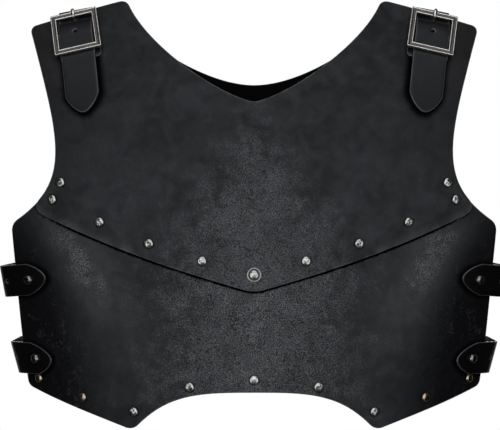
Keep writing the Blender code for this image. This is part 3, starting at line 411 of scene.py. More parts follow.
FLESH_DARK = (0.0012, 0.0012, 0.0014)
FLESH_LIGHT = (0.0042, 0.0043, 0.0047)
FLESH_GREY = (0.0062, 0.0062, 0.0066)
CUT_DARK = (0.0100, 0.0100, 0.0105)
CUT_LIGHT = (0.0300, 0.0300, 0.0310)
CUT_GREY = (0.1000, 0.0990, 0.0980)

# The leather's gloss is a little blue
COOL_SHEEN = (0.87, 0.92, 1.0, 1.0)

# Metals: the clean and the dull colour, then the roughness and the depth of the scratches
CAP_METALS = {
    "rivet_steel": ((0.86, 0.86, 0.85), (0.115, 0.118, 0.092)),
    "warm_rivet": ((0.80, 0.68, 0.52), (0.15, 0.105, 0.065)),
    "stud_steel": ((0.42, 0.41, 0.40), (0.020, 0.020, 0.020)),
}
METALS = {
    "ring_steel": ((0.44, 0.44, 0.45), (0.040, 0.040, 0.040), 0.30, 0.00003),
    "buckle_metal": ((0.98, 0.96, 0.93), (0.018, 0.016, 0.010), 0.19, 0.00003),
    "prong_steel": ((1.00, 0.99, 0.97), (0.12, 0.115, 0.105), 0.24, 0.00002),
}

# The Mix node's sockets for colours, which share their names with its other sockets
MIX_INPUTS = (6, 7)
MIX_OUTPUT = 2

# Fineness of the meshes and of the lines that they follow
PLATE_PITCH = 0.0030
STRAP_PITCH = 0.0022
OUTLINE_STEP = 0.0014
SURFACE_STEP = 0.0005
GRID_CLEAR = 0.6
EDGE_ANGLES = (0, 25, 50, 72, 90)
EDGE_BAND = 0.0030
OUTER_ROUNDING = 0.36
INNER_ROUNDING = 0.22
CAP_SIDES = 28
CAP_RINGS = 9
RING_SIDES = 48
PRONG_SIDES = 14
PRONG_STEPS = 90
BAR_SIDES = 12
HOLE_SIDES = 14
RIVET_HOLE_SIDES = 12
SLOT_STEPS = 8
CURVE_STEPS = 48
CORNER_STEPS = 10
SHOULDER_FRONT_STEPS = 240
SHOULDER_BACK_STEPS = 120
SHOULDER_STEPS = 700
SIDE_PLATE_STEPS = 60
SIDE_STEPS = 500
CHAPE_STEPS = 260
BEND_STEPS = 19

# Limits of the outlines' shapes: how full a rounded corner is, how far past a cut a point has to lie to be
# kept, how sharp a corner can be when a loop is moved, and how near its side the body's rounding is followed
CORNER_FULLNESS = 0.6
PAST_CUT = 1.001
MITRE_LIMIT = 0.5
ROUNDING_LIMIT = 0.98

# Camera and light
CAMERA_DISTANCE = 1.8
CAMERA_HEIGHT = -0.2022
FRAME_WIDTH = 0.492
SENSOR = 36.0
FRAME_SHIFT = (-0.0082, -0.0060)
FLOOR_HEIGHT = -0.95
FLOOR_RADIUS = 1.6
FLOOR_SIDES = 96
FLOOR_GLOW = 0.62
LIGHT_TARGET = (0.0, 0.0, -0.2)
SOFT_BOXES = (
    # name, place, size, power
    ("front_box", (0.0, -2.4, 0.05), (2.4, 1.7), 15.0),
    ("top_box", (0.0, -1.25, 1.45), (1.9, 1.3), 7.6),
    ("low_box", (0.95, -1.50, -0.95), (0.9, 0.7), 2.0),
    ("side_box", (1.35, -1.45, -0.3), (0.35, 1.1), 1.9),
    ("back_box", (0.0, 2.6, 0.7), (1.8, 1.2), 20.0),
)

# The surround's strength all round, and behind the armour, from and to these shares of straight back
AMBIENT = 0.022
BACKDROP = 0.75
BACKDROP_FROM, BACKDROP_FULL = 0.62, 0.92

RANDOM_SEED = 7


# Lines and surfaces


def smooth(rows, at):
    """The other columns of a table at these values of its first, on smooth curves through its rows."""
    table = np.array(rows, float)
    keys, values = table[:, 0], table[:, 1:]
    slopes = np.empty_like(values)
    slopes[1:-1] = (values[2:] - values[:-2]) / (keys[2:] - keys[:-2])[:, None]
    slopes[0] = (values[1] - values[0]) / (keys[1] - keys[0])
    slopes[-1] = (values[-1] - values[-2]) / (keys[-1] - keys[-2])
    at = np.asarray(at, float)
    i = np.clip(np.searchsorted(keys, at, side="right") - 1, 0, len(keys) - 2)
    span = (keys[i + 1] - keys[i])[..., None]
    t = np.clip((at - keys[i])[..., None] / span, 0, 1)
    rise = (2 * t**3 - 3 * t**2 + 1) * values[i] + (3 * t**2 - 2 * t**3) * values[i + 1]
    bend = (t**3 - 2 * t**2 + t) * slopes[i] + (t**3 - t**2) * slopes[i + 1]
    return np.moveaxis(rise + bend * span, -1, 0)


def faded(values, start, over):
    """0 before the start and 1 past it, or the other way round where the fade runs backwards."""
    return np.clip((values - start) / over, 0, 1)


def turns(sides):
    """Even angles round a circle."""
    return np.linspace(0, 2 * math.pi, sides, endpoint=False)


def unit(vectors):
    return vectors / np.linalg.norm(vectors, axis=-1, keepdims=True)


def place_of(shares):
    """Shares across and down, as the place (x, z)."""
    return np.array((shares[0] * HALF_BREADTH, -shares[1] * PLATE_HEIGHT))


def spot(x, z, shares, radius):
    """1 at the place with these shares on either side, and fading away round it."""
    middle_x, middle_z = place_of(shares)
    return np.exp(-((np.abs(x) - middle_x) ** 2 + (z - middle_z) ** 2) / radius**2)


def body_depth(x, z, side):
    """How far the body form stands out from the plane between front and back."""
    breadth, depth, set_back = smooth(SECTIONS[side], -z / PLATE_HEIGHT)
    ratio = np.minimum(np.abs(x) / (breadth * HALF_BREADTH), ROUNDING_LIMIT)
    return REACH[side] * (1 - set_back - depth * (1 - np.sqrt(1 - ratio**2)))


def relief(x, z, side):
    """The leather's soft waves, and the dimples where rivets pull it in."""
    height = np.zeros(np.shape(x))
    for length, direction, phase, wave in WAVES:
        angle = math.radians(direction * side)
        run = x * math.cos(angle) + z * math.sin(angle)
        height = height + wave * np.sin(2 * math.pi * run / length + phase)
    for shares in (ARM_RIVETS + HEM_RIVETS + SEAM_RIVETS) if side == FRONT else ():
        height = height - DIMPLE_DEPTH * spot(x, z, shares, DIMPLE_RADIUS)
    return height


def surface(x, z, side, lift=0.0):
    """Points of the body form at places across and up, lifted off it, and the outward normals there."""
    x, z = np.asarray(x, float), np.asarray(z, float)
    across = body_depth(x + SURFACE_STEP, z, side) - body_depth(x - SURFACE_STEP, z, side)
    upward = body_depth(x, z + SURFACE_STEP, side) - body_depth(x, z - SURFACE_STEP, side)
    level = np.full(x.shape, 2 * SURFACE_STEP * side)
    normal = unit(np.stack((-across, level, -upward), -1))
    outward = body_depth(x, z, side) + (lift + relief(x, z, side)) / np.abs(normal[..., 1])
    return np.stack((x, side * outward, z), -1), normal


def bezier(points, steps=CURVE_STEPS):
    t = np.linspace(0, 1, steps + 1)[:, None]
    a, b, c, d = (np.asarray(p, float) for p in points)
    return (1 - t) ** 3 * a + 3 * (1 - t) ** 2 * t * b + 3 * (1 - t) * t**2 * c + t**3 * d


def edge_curve(shares):
    return bezier([place_of(p) for p in shares])


def lengths_of(line):
    """Distance along the line at each of its points."""
    return np.concatenate(([0.0], np.cumsum(np.linalg.norm(np.diff(line, axis=0), axis=1))))


def read_off(keys, rows, at):
    """The rows at these values of their keys, on straight lines between them."""
    return np.stack([np.interp(at, keys, column) for column in rows.T], -1)


def along(line, distances):
    """The points at these distances along the line."""
    return read_off(lengths_of(line), line, distances)


def left_of(directions):
    return np.stack((-directions[:, 1], directions[:, 0]), -1)


def trimmed(line, start, end):
    """The line without this much of either end."""
    lengths = lengths_of(line)
    kept = line[(lengths > start * PAST_CUT) & (lengths < lengths[-1] - end * PAST_CUT)]
    ends = along(line, np.array((start, lengths[-1] - end)))
    return np.vstack((ends[:1], kept, ends[1:]))


def corner_curve(start, corner, end):
    """The points between start and end on a rounding of the corner."""
    first, last = start + (corner - start) * CORNER_FULLNESS, end + (corner - end) * CORNER_FULLNESS
    return bezier((start, first, last, end), CORNER_STEPS)[1:-1]


def rounded(lines, cuts):
    """Lines that meet end to end, as one line with each meeting point rounded over its own cut."""
    cuts = [0.0, *cuts, 0.0]
    result = []
    for i, line in enumerate(lines):
        part = trimmed(line, cuts[i], cuts[i + 1])
        if result and cuts[i] > 0:
            result.append(corner_curve(result[-1][-1], line[0], part[0]))
        result.append(part if not result or cuts[i] > 0 else part[1:])
    return np.vstack(result)


def evenly(line):
    """The closed line's points at even steps, the last, which repeats the first, left out."""
    count = int(round(lengths_of(line)[-1] / OUTLINE_STEP))
    return along(line, np.linspace(0, lengths_of(line)[-1], count + 1))[:-1]


def whole_outline(lines, cuts, ends):
    """A closed outline from the lines of its right half, from the middle above to the middle below."""
    left = [line[::-1] * (-1.0, 1.0) for line in reversed(lines)]
    outline = rounded([*lines, *left], [*cuts, ends[1], *reversed(cuts)])
    if ends[0]:
        first = trimmed(outline, ends[0], ends[0])
        outline = np.vstack((first, corner_curve(first[-1], outline[0], first[0]), first[:1]))
    return evenly(outline)[::-1]


def split(line, down):
    """The parts of a falling edge above and below this share of the height."""
    limit = -down * PLATE_HEIGHT
    at = np.interp(-limit, -line[:, 1], lengths_of(line))
    point = along(line, at)[None]
    return np.vstack((line[line[:, 1] > limit], point)), np.vstack((point, line[line[:, 1] < limit]))


def cross_edge(start, inner):
    """A curve from a point on the side of a plate to its middle line."""
    return bezier([start, *[place_of(p) for p in inner]])


def breast_outline():
    arm = split(edge_curve(ARM_EDGE), SEAM_SIDE_DOWN)[0]
    lines = [edge_curve(NECK_EDGE), edge_curve(SHOULDER_EDGE), arm, cross_edge(arm[-1], SEAM_INNER)]
    cuts = [CORNER_ROUNDING, CORNER_ROUNDING, SEAM_CORNER_ROUNDING]
    return whole_outline(lines, cuts, [TIP_ROUNDING, SEAM_TIP_ROUNDING])


def belly_outline():
    arm = split(edge_curve(ARM_EDGE), UNDERLAP_SIDE_DOWN)[1]
    top = cross_edge(arm[0], UNDERLAP_INNER)[::-1]
    lines = [top, arm, edge_curve(SIDE_EDGE), edge_curve(OUTER_HEM), edge_curve(HEM_ARCH)]
    cuts = [TIP_ROUNDING, CORNER_ROUNDING, HEM_CORNER_ROUNDING, CORNER_ROUNDING]
    return whole_outline(lines, cuts, [TIP_ROUNDING, 0.0])


def back_outline():
    edges = (BACK_NECK_EDGE, BACK_SHOULDER_EDGE, BACK_ARM_EDGE, SIDE_EDGE, OUTER_HEM, HEM_ARCH)
    return whole_outline([edge_curve(e) for e in edges], [CORNER_ROUNDING] * 5, [0.0, 0.0])


def pointed_strip(width, length, point):
    """Outline (across, along) of a strap with a curved point at 0 and rounded corners at its far end."""
    half = width / 2
    side = bezier([(half * over, point * up) for over, up in STRAP_POINT_CURVE])
    edge = np.array((side[-1], (half, length)))
    end = np.array((edge[-1], (0, length)))
    return whole_outline([side, edge, end], [0.0, STRAP_END_ROUNDING], [STRAP_TIP_ROUNDING, 0.0])[::-1]


def clockwise(loop):
    ahead = np.roll(loop, -1, 0)
    area = (loop[:, 0] * ahead[:, 1] - ahead[:, 0] * loop[:, 1]).sum()
    return loop[::-1] if area > 0 else loop


def circle(middle, radius, sides=HOLE_SIDES):
    turn = turns(sides)
    return clockwise(np.array(middle) + radius * np.stack((np.cos(turn), np.sin(turn)), -1))


def slot_loop(middle, width, length):
    """A rounded slot's outline, lengthwise along the strap."""
    half, reach = width / 2, length / 2 - width / 2
    turn = np.linspace(0, math.pi, SLOT_STEPS)
    upper = np.stack((half * np.cos(turn), reach + half * np.sin(turn)), -1)
    return clockwise(np.array(middle) + np.vstack((upper, -upper)))


def frame_at(point, normal, up=UP):
    """Columns across, up and outward, and the point, as a 4 by 4 matrix."""
    normal = unit(np.asarray(normal, float))
    across = unit(np.cross(up, normal))
    matrix = np.eye(4)
    matrix[:3] = np.column_stack((across, np.cross(normal, across), normal, point))
    return matrix


def moved(points, matrix):
    return points @ matrix[:3, :3].T + matrix[:3, 3]


# Meshes


def offset(loop, distance):
    """The closed loop moved to its left."""
    ahead = unit(np.roll(loop, -1, 0) - loop)
    tangent = unit(ahead + np.roll(ahead, 1, 0))
    stretch = 1 / np.maximum((tangent * ahead).sum(1), MITRE_LIMIT)
    return loop + left_of(tangent) * (distance * stretch)[:, None]


def inside(points, loops):
    """Which points lie in the area that the closed loops bound."""
    x, y = points[:, 0], points[:, 1]
    odd = np.zeros(len(points), bool)
    for loop in loops:
        for (ax, ay), (bx, by) in zip(loop, np.roll(loop, -1, 0)):
            if ay != by:
                odd ^= ((ay > y) != (by > y)) & (x < ax + (y - ay) * (bx - ax) / (by - ay))
    return odd


def gaps_to(line, places):
    """Each place's distance from the nearest point of the line."""
    tree = KDTree(len(line))
    for i, point in enumerate(line):
        tree.insert((*point, 0), i)
    tree.balance()
    return np.array([tree.find((*place, 0))[2] for place in places])


def grid_inside(loops, pitch):
    """Points of an even triangular grid in the area, clear of its edges."""
    low, high = loops[0].min(0), loops[0].max(0)
    points = []
    for n, row in enumerate(np.arange(low[1], high[1], pitch * math.sqrt(0.75))):
        columns = np.arange(low[0] + pitch / 2 * (n % 2), high[0], pitch)
        points.append(np.stack((columns, np.full(columns.shape, row)), -1))
    points = np.vstack(points)
    points = points[inside(points, loops)]
    return points[gaps_to(np.vstack(loops), points) > pitch * GRID_CLEAR]


def rounding_depth(inset, radius):
    """How far a rounded edge falls away at this distance in from it."""
    share = np.clip(1 - inset / radius, 0, 1)
    return radius * (1 - np.sqrt(1 - share**2))


def ring_faces(rings, sides, closed=False, flipped=False):
    """Four-sided faces between neighbouring rings of points, and from the last to the first if closed."""
    faces = []
    for n in range(rings if closed else rings - 1):
        low, high = n * sides, (n + 1) % rings * sides
        for i in range(sides):
            j = (i + 1) % sides
            face = (low + i, high + i, high + j, low + j)
            faces.append((low + i, low + j, high + j, high + i) if flipped else face)
    return faces


def mesh_of(name, points, faces):
    mesh = bpy.data.meshes.new(name)
    mesh.from_pydata(np.asarray(points, float).tolist(), [], faces)
    return mesh


def paint_points(mesh, name, values):
    """A value at each point of the mesh for its material to read."""
    mesh.attributes.new(name, "FLOAT", "POINT").data.foreach_set("value", np.asarray(values, np.float32))


def remove_loose(mesh):
    """Takes out the points that no face uses."""
    bm = bmesh.new()
    bm.from_mesh(mesh)
    bmesh.ops.delete(bm, geom=[v for v in bm.verts if not v.link_faces], context="VERTS")
    bm.to_mesh(mesh)
    bm.free()


def triangulated(rings, grid):
    """Flat triangles over the rings' points and the grid's, with an edge along each ring: the points, the
    triangles, and for each point the ones that it came from."""
    edges, start = [], 0
    for ring in rings:
        count = len(ring)
        edges += [(start + i, start + (i + 1) % count) for i in range(count)]
        start += count
    points = [Vector(p) for p in np.vstack((*rings, grid))]
    verts, _, faces, origins, _, _ = delaunay_2d_cdt(points, edges, [], 0, 1e-7)
    return np.array([tuple(v) for v in verts]), np.array(faces), origins


def leather_shell(name, outline, holes, place, wall, pitch, materials, extra=()):
    """A piece of leather with real thickness: rounded outer edges, a cut side and a flesh side.
    The outline runs left-handed round the leather in flat places, each hole the other way, and place() takes
    flat places and depths below the outer face to points. Extra points make the mesh finer along a line."""
    radius = wall * OUTER_ROUNDING
    insets = [radius * (1 - math.cos(math.radians(a))) for a in EDGE_ANGLES]
    borders = [(outline, [*insets, EDGE_BAND]), *[(hole, insets[::2]) for hole in holes]]
    rings = [offset(loop, inset) for loop, steps in borders for inset in steps]
    innermost = [offset(outline, EDGE_BAND), *[offset(hole, insets[-1]) for hole in holes]]
    finer = [line[inside(line, innermost)] for line in extra]
    flat, faces, origins = triangulated(rings, np.vstack((grid_inside(innermost, pitch), *finer)))
    faces = faces[inside(flat[faces].mean(1), [outline, *holes])]
    ring_insets = [np.full(len(loop), inset) for loop, steps in borders for inset in steps]
    ring_insets = np.concatenate(ring_insets)
    first = np.array([origin[0] if origin else len(ring_insets) for origin in origins])
    inset = np.append(ring_insets, 1.0)[np.minimum(first, len(ring_insets))]
    top = place(flat, rounding_depth(inset, radius))
    bottom = place(flat, wall - rounding_depth(inset, wall * INNER_ROUNDING))

    new_index = {old: new for new, origin in enumerate(origins) for old in origin}
    count = len(flat)
    walls, start = [], 0
    for loop, steps in borders:
        ring = [new_index[start + i] for i in range(len(loop))]
        walls += [(b, a, a + count, b + count) for a, b in zip(ring, ring[1:] + ring[:1])]
        start += len(loop) * len(steps)
    groups = [faces.tolist(), (faces[:, ::-1] + count).tolist(), walls]
    a, b, c = top[faces[0]]
    if np.dot(np.cross(b - a, c - a), a - bottom[faces[0][0]]) < 0:
        groups = [[face[::-1] for face in group] for group in groups]
    mesh = mesh_of(name, np.vstack((top, bottom)), [face for group in groups for face in group])
    slots = np.repeat((0, 1, 2), [len(group) for group in groups]).astype(np.int32)
    mesh.polygons.foreach_set("material_index", slots)
    worn_and_highlit = np.clip(1 - inset / EDGE_BAND, 0, 1)
    paint_points(mesh, "edge", np.concatenate((worn_and_highlit, worn_and_highlit)))
    remove_loose(mesh)
    return add(name, mesh, materials)


# Pieces and the nodes that they stand for


def new_object(name, data):
    obj = bpy.data.objects.new(name, data)
    bpy.context.scene.collection.objects.link(obj)
    return obj


def add(name, mesh, materials):
    """An object of this mesh, smooth, riding on the armour."""
    for material in materials:
        mesh.materials.append(material)
    mesh.shade_smooth()
    obj = new_object(name, mesh)
    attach(obj, "root")
    return obj


def stand_for(obj, slot, *nodes):
    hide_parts(*nodes)


def stand_for_both(right, slot, node):
    """The right-hand piece and its mirror image, each in place of its node."""
    stand_for(right, slot, f"{node}_right")
    mesh = right.data.copy()
    mesh.transform(Matrix.Scale(-1, 4, (1, 0, 0)))
    mesh.flip_normals()
    left = new_object(right.name.replace("right", "left"), mesh)
    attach(left, "root")
    stand_for(left, slot, f"{node}_left")


# Materials


class Nodes:
    """A node tree, with short ways to add nodes to it."""

    def __init__(self, owner):
        owner.use_nodes = True
        self.tree = owner.node_tree

    def node(self, kind, inputs=None, **settings):
        node = self.tree.nodes.new(kind)
        for key, value in settings.items():
            setattr(node, key, value)
        for key, value in (inputs or {}).items():
            self.set(node.inputs[key], value)
        return node

    def set(self, socket, value):
        if isinstance(value, bpy.types.NodeSocket):
            self.tree.links.new(value, socket)
        else:
            socket.default_value = value

    def ramp(self, value, low, high, start=0.0, end=1.0):
        """The value's range from low to high, spread from start to end and held there outside it."""
        inputs = {"Value": value, "From Min": low, "From Max": high, "To Min": start, "To Max": end}
        return self.node("ShaderNodeMapRange", inputs, clamp=True).outputs["Result"]

    def math(self, operation, first, second):
        return self.node("ShaderNodeMath", {0: first, 1: second}, operation=operation).outputs[0]

    def times(self, first, second):
        return self.math("MULTIPLY", first, second)

    def plus(self, first, second):
        return self.math("ADD", first, second)

    def most(self, first, second):
        return self.math("MAXIMUM", first, second)


class Paint(Nodes):
    """The nodes of a material that is painted in the piece's own space."""

    def __init__(self, name, metallic=0.0):
        self.material = bpy.data.materials.new(name)
        super().__init__(self.material)
        self.shader = self.tree.nodes["Principled BSDF"]
        self.set(self.shader.inputs["Metallic"], metallic)
        self.place = self.node("ShaderNodeTexCoord").outputs["Object"]

    def noise(self, scale, detail, roughness=0.5, distortion=0.0, place=None):
        inputs = {
            "Vector": place or self.place, "Scale": scale, "Detail": detail,
            "Roughness": roughness, "Distortion": distortion,
        }
        return self.node("ShaderNodeTexNoise", inputs).outputs["Fac"]

    def scratches(self):
        """Fine noise, drawn out across the piece."""
        stretched = self.node("ShaderNodeMapping", {"Vector": self.place, "Scale": (1.0, 0.25, 3.0)})
        return self.noise(900.0, 3.0, 0.5, 0.6, stretched.outputs["Vector"])

    def attribute(self, name):
        return self.node("ShaderNodeAttribute", attribute_name=name).outputs["Fac"]

    def mix(self, share, first, second):
        node = self.node("ShaderNodeMix", {"Factor": share}, data_type="RGBA")
        for index, colour in zip(MIX_INPUTS, (first, second)):
            self.set(node.inputs[index], (*colour, 1.0) if isinstance(colour, tuple) else colour)
        return node.outputs[MIX_OUTPUT]

    def bumps(self, *layers):
        """Heights laid over each other, each with its depth in metres."""
        for height, depth in layers:
            node = self.node("ShaderNodeBump", {"Height": height, "Distance": depth, "Strength": 1.0})
            for link in self.shader.inputs["Normal"].links:
                self.set(node.inputs["Normal"], link.from_socket)
            self.set(self.shader.inputs["Normal"], node.outputs["Normal"])

    def finish(self, colour, roughness, others=None):
        for key, value in {"Base Color": colour, "Roughness": roughness, **(others or {})}.items():
            self.set(self.shader.inputs[key], value)
        return self.material


def pale_rubbing_and_painted_light(paint, base, cloudy, speckle):
    """Pale wedge and bands, part rubbing and part painted highlight, ragged like the clouds, with painted
    glint specks and dark pits.
    """
    ragged = paint.plus(paint.attribute("rubbed_and_highlit"), paint.ramp(cloudy, 0.36, 0.64, -0.13, 0.11))
    glow = paint.ramp(ragged, 0.48, 1.00)
    band = paint.times(paint.attribute("band"), paint.ramp(cloudy, 0.37, 0.57, 0.45, 1.0))
    burnished_and_highlit = paint.ramp(band, 0.30, 0.75)
    lit = paint.times(paint.most(paint.ramp(ragged, 0.36, 0.68), burnished_and_highlit), paint.attribute("speckled"))
    bright = paint.most(paint.ramp(glow, 0.0, 1.0, 0.35, 1.0), burnished_and_highlit)
    # Painted highlight: the wedge is made paler, over the rubbing
    base = paint.mix(paint.times(glow, paint.ramp(cloudy, 0.40, 0.60, 0.55, 1.0)), base, RUBBED_AND_HIGHLIT_GREY)
    # Painted sheen, and the bands: burnish on the breast plate, a painted highlight on the flanks
    base = paint.mix(paint.times(paint.attribute("sheen"), 0.62), base, SHEEN_GREY)
    base = paint.mix(paint.times(band, 0.9), base, BURNISH_AND_HIGHLIGHT_GREY)
    # Painted highlights: bright glint specks in the grain where the leather is lit
    painted_glints = paint.times(paint.ramp(speckle, 0.50, 0.58), paint.times(lit, bright))
    base = paint.mix(paint.times(painted_glints, 0.90), base, PAINTED_GLINT_GREY)
    pits = paint.times(paint.ramp(speckle, 0.50, 0.42), paint.ramp(lit, 0.0, 0.8))
    return paint.mix(paint.times(pits, 0.95), base, PIT_BLACK), painted_glints, pits


def browned_scuffed_and_shaded(paint, base, clouds, flank):
    """The browned places, the painted shade on the dark flanks, and the violet scuffs, which show most on
    them.
    """
    browned = paint.times(paint.attribute("browned"), paint.ramp(clouds, 0.35, 0.6, 0.4, 1.0))
    base = paint.mix(paint.times(browned, 0.8), base, WORN_BROWN)
    # Painted shade: the flanks, turned away from the light, are made near black
    base = paint.mix(paint.times(flank, 0.88), base, FLANK_SHADE_BLACK)
    scratch = paint.noise(150.0, 5.0, 0.70, 1.6)
    scuffs = paint.times(paint.ramp(scratch, 0.53, 0.66), paint.ramp(clouds, 0.46, 0.60))
    return paint.mix(paint.times(scuffs, paint.ramp(flank, 0.0, 1.0, 0.22, 0.80)), base, SCUFF_VIOLET)


def grime_and_shade_share(paint, grain):
    """Painted shade, with some dirt, in the ragged creases along the seam and round the rivets, and beside
    the straps.
    """
    crease = paint.attribute("crease")
    ragged = paint.plus(crease, paint.ramp(grain, 0.3, 0.7, -0.30, 0.22))
    crease = paint.times(paint.ramp(ragged, 0.10, 0.50), paint.ramp(crease, 0.0, 0.1))
    return paint.most(crease, paint.ramp(paint.attribute("shade"), 0.0, 0.85, 0.0, 0.92))


def plate_leather():
    """Black plate leather: clouded, a pale speckled wedge, dark flanks and burnished edges, with painted
    highlights and shade.
    """
    paint = Paint("plate_leather")
    clouds = paint.noise(38.0, 2.5, 0.5, 0.9)
    patches = paint.noise(95.0, 5.0, 0.62, 0.6)
    speckle = paint.noise(1150.0, 3.0, 0.75)
    grain = paint.noise(480.0, 3.0, 0.6)
    soft = paint.plus(paint.times(clouds, 0.72), paint.times(patches, 0.28))
    cloudy = paint.plus(paint.times(clouds, 0.45), paint.times(patches, 0.55))
    flank = paint.attribute("dark")
    base = paint.mix(paint.ramp(soft, 0.37, 0.63), CLOUD_DARK, CLOUD_LIGHT)
    base, painted_glints, pits = pale_rubbing_and_painted_light(paint, base, cloudy, speckle)
    base = browned_scuffed_and_shaded(paint, base, clouds, flank)
    # Painted shade, with some dirt: the creases, the rings round the rivets and the leather beside the straps
    grime_and_shade = grime_and_shade_share(paint, grain)
    base = paint.mix(grime_and_shade, base, CREASE_BLACK)
    # Light edges: burnish with a painted highlight
    edge = paint.attribute("edge")
    worn_and_highlit = paint.times(paint.ramp(edge, 0.55, 0.90), paint.ramp(patches, 0.38, 0.58, 0.35, 1.0))
    worn_and_highlit = paint.times(worn_and_highlit, paint.ramp(speckle, 0.38, 0.58, 0.35, 1.0))
    base = paint.mix(paint.times(worn_and_highlit, 0.85), base, WORN_AND_HIGHLIT_EDGE)
    rough = paint.ramp(cloudy, 0.38, 0.62, 0.60, 0.43)
    for share, change in ((pits, 0.30), (painted_glints, -0.12), (flank, -0.14), (grime_and_shade, 0.50)):
        rough = paint.plus(rough, paint.times(share, change))
    paint.bumps((clouds, 0.00030), (patches, 0.00022), (grain, 0.00010), (speckle, 0.00007))
    # Metallic over the painted shade takes the gloss away there too
    shine = {"Specular IOR Level": 0.46, "Specular Tint": COOL_SHEEN, "Metallic": paint.times(grime_and_shade, 0.85)}
    return paint.finish(base, rough, shine)


def strap_leather():
    """Smooth black strap leather with a fine grain, light edges that are part burnish and part painted
    highlight, and painted shade on the side straps.
    """
    paint = Paint("strap_leather")
    patches = paint.noise(60.0, 4.0, 0.6)
    speckle = paint.noise(1100.0, 2.0, 0.55)
    cells = paint.node("ShaderNodeTexVoronoi", {"Vector": paint.place, "Scale": 1000.0}).outputs["Distance"]
    black = paint.attribute("black")
    base = paint.mix(paint.ramp(patches, 0.35, 0.65), STRAP_DARK, STRAP_LIGHT)
    base = paint.mix(paint.ramp(speckle, 0.5, 0.75, 0.0, 0.25), base, STRAP_SPECKLE)
    # Painted shade: the side straps, on the flanks turned from the light, are made near black, and Metallic
    # takes their gloss away
    base = paint.mix(paint.times(black, 0.9), base, STRAP_BLACK)
    # Light edges: burnish with a painted highlight
    edge = paint.attribute("edge")
    worn_and_highlit = paint.times(paint.ramp(edge, 0.70, 0.92), paint.ramp(patches, 0.3, 0.6, 0.6, 1.0))
    base = paint.mix(paint.times(worn_and_highlit, 0.9), base, STRAP_EDGE_WORN_AND_HIGHLIT)
    rough = paint.plus(paint.ramp(patches, 0.3, 0.7, 0.40, 0.32), paint.ramp(speckle, 0.3, 0.7, -0.03, 0.05))
    rough = paint.plus(rough, paint.times(worn_and_highlit, -0.10))
    paint.bumps((patches, 0.00010), (cells, 0.00004), (speckle, 0.00003))
    return paint.finish(base, rough, {"Specular Tint": COOL_SHEEN, "Metallic": paint.times(black, 0.28)})


def flesh_side():
    """The rough inner side of the leather."""
    paint = Paint("flesh_side")
    fibres = paint.noise(420.0, 5.0, 0.7, 0.8)
    patches = paint.noise(40.0, 3.0, 0.6)
    base = paint.mix(paint.ramp(fibres, 0.35, 0.65), FLESH_DARK, FLESH_LIGHT)
    base = paint.mix(paint.ramp(patches, 0.4, 0.7, 0.0, 0.4), base, FLESH_GREY)
    paint.bumps((patches, 0.00025), (fibres, 0.00030))
    return paint.finish(base, paint.ramp(fibres, 0.3, 0.7, 0.95, 0.75), {"Specular IOR Level": 0.2})


def cut_edge():
    """The cut side of the leather, dyed and burnished."""
    paint = Paint("cut_edge")
    layers = paint.noise(300.0, 3.0, 0.6)
    patches = paint.noise(70.0, 3.0, 0.6)
    base = paint.mix(paint.ramp(layers, 0.35, 0.65), CUT_DARK, CUT_LIGHT)
    base = paint.mix(paint.ramp(patches, 0.45, 0.7, 0.0, 0.6), base, CUT_GREY)
    paint.bumps((layers, 0.00015))
    return paint.finish(base, paint.ramp(patches, 0.3, 0.7, 0.5, 0.32))


def metal(name):
    """Plated metal, darker in its recesses and finely scratched."""
    clean, dull, roughness, depth = METALS[name]
    paint = Paint(name, 1.0)
    stains = paint.noise(260.0, 4.0, 0.6)
    scratches = paint.scratches()
    dark = paint.most(paint.attribute("recess"), paint.ramp(stains, 0.58, 0.78, 0.0, 0.4))
    rough = paint.ramp(dark, 0.0, 1.0, roughness, roughness + 0.22)
    rough = paint.plus(rough, paint.ramp(scratches, 0.4, 0.7, -0.03, 0.08))
    paint.bumps((scratches, depth), (stains, depth * 2))
    return paint.finish(paint.mix(dark, clean, dull), rough)


def cap_metal(name):
    """Metal of a rivet's cap: dull in the middle, tarnish and a painted dark reflection, with clean dabs,
    bright towards its rim.
    """
    clean, dull = CAP_METALS[name]
    paint = Paint(name, 1.0)
    stains = paint.noise(330.0, 4.0, 0.6)
    dabs = paint.noise(560.0, 2.0)
    # The dull middle is tarnish and a painted dark reflection; the clean dabs in it are painted reflections
    middle = paint.times(paint.attribute("middle"), paint.ramp(dabs, 0.62, 0.50, 0.15, 1.0))
    dark = paint.most(paint.attribute("recess"), middle)
    dark = paint.most(dark, paint.ramp(stains, 0.56, 0.78, 0.0, 0.5))
    paint.bumps((paint.scratches(), 0.00002), (stains, 0.00005))
    return paint.finish(paint.mix(dark, clean, dull), paint.ramp(dark, 0.0, 1.0, 0.29, 0.20))


def plain_floor():
    paint = Paint("pale_floor")
    marks = paint.ramp(paint.noise(3.0, 3.0), 0.3, 0.7)
    glow = {"Emission Color": WHITE, "Emission Strength": FLOOR_GLOW}
    return paint.finish(paint.mix(marks, (0.78, 0.78, 0.78), (0.82, 0.82, 0.82)), 0.8, glow)


# Plates


def rubbed_and_highlit_share(x, z):
    """How far a place lies inside the pale wedge, rubbing with a painted highlight: 0.5 at its edge, 1 in its
    middle.
    """
    half, strength = smooth(RUBBED_AND_HIGHLIT_WEDGE, -z / PLATE_HEIGHT)
    return np.clip(1 - 0.5 * np.abs(x) / half, 0, 1) * np.clip(strength, 0, 1)


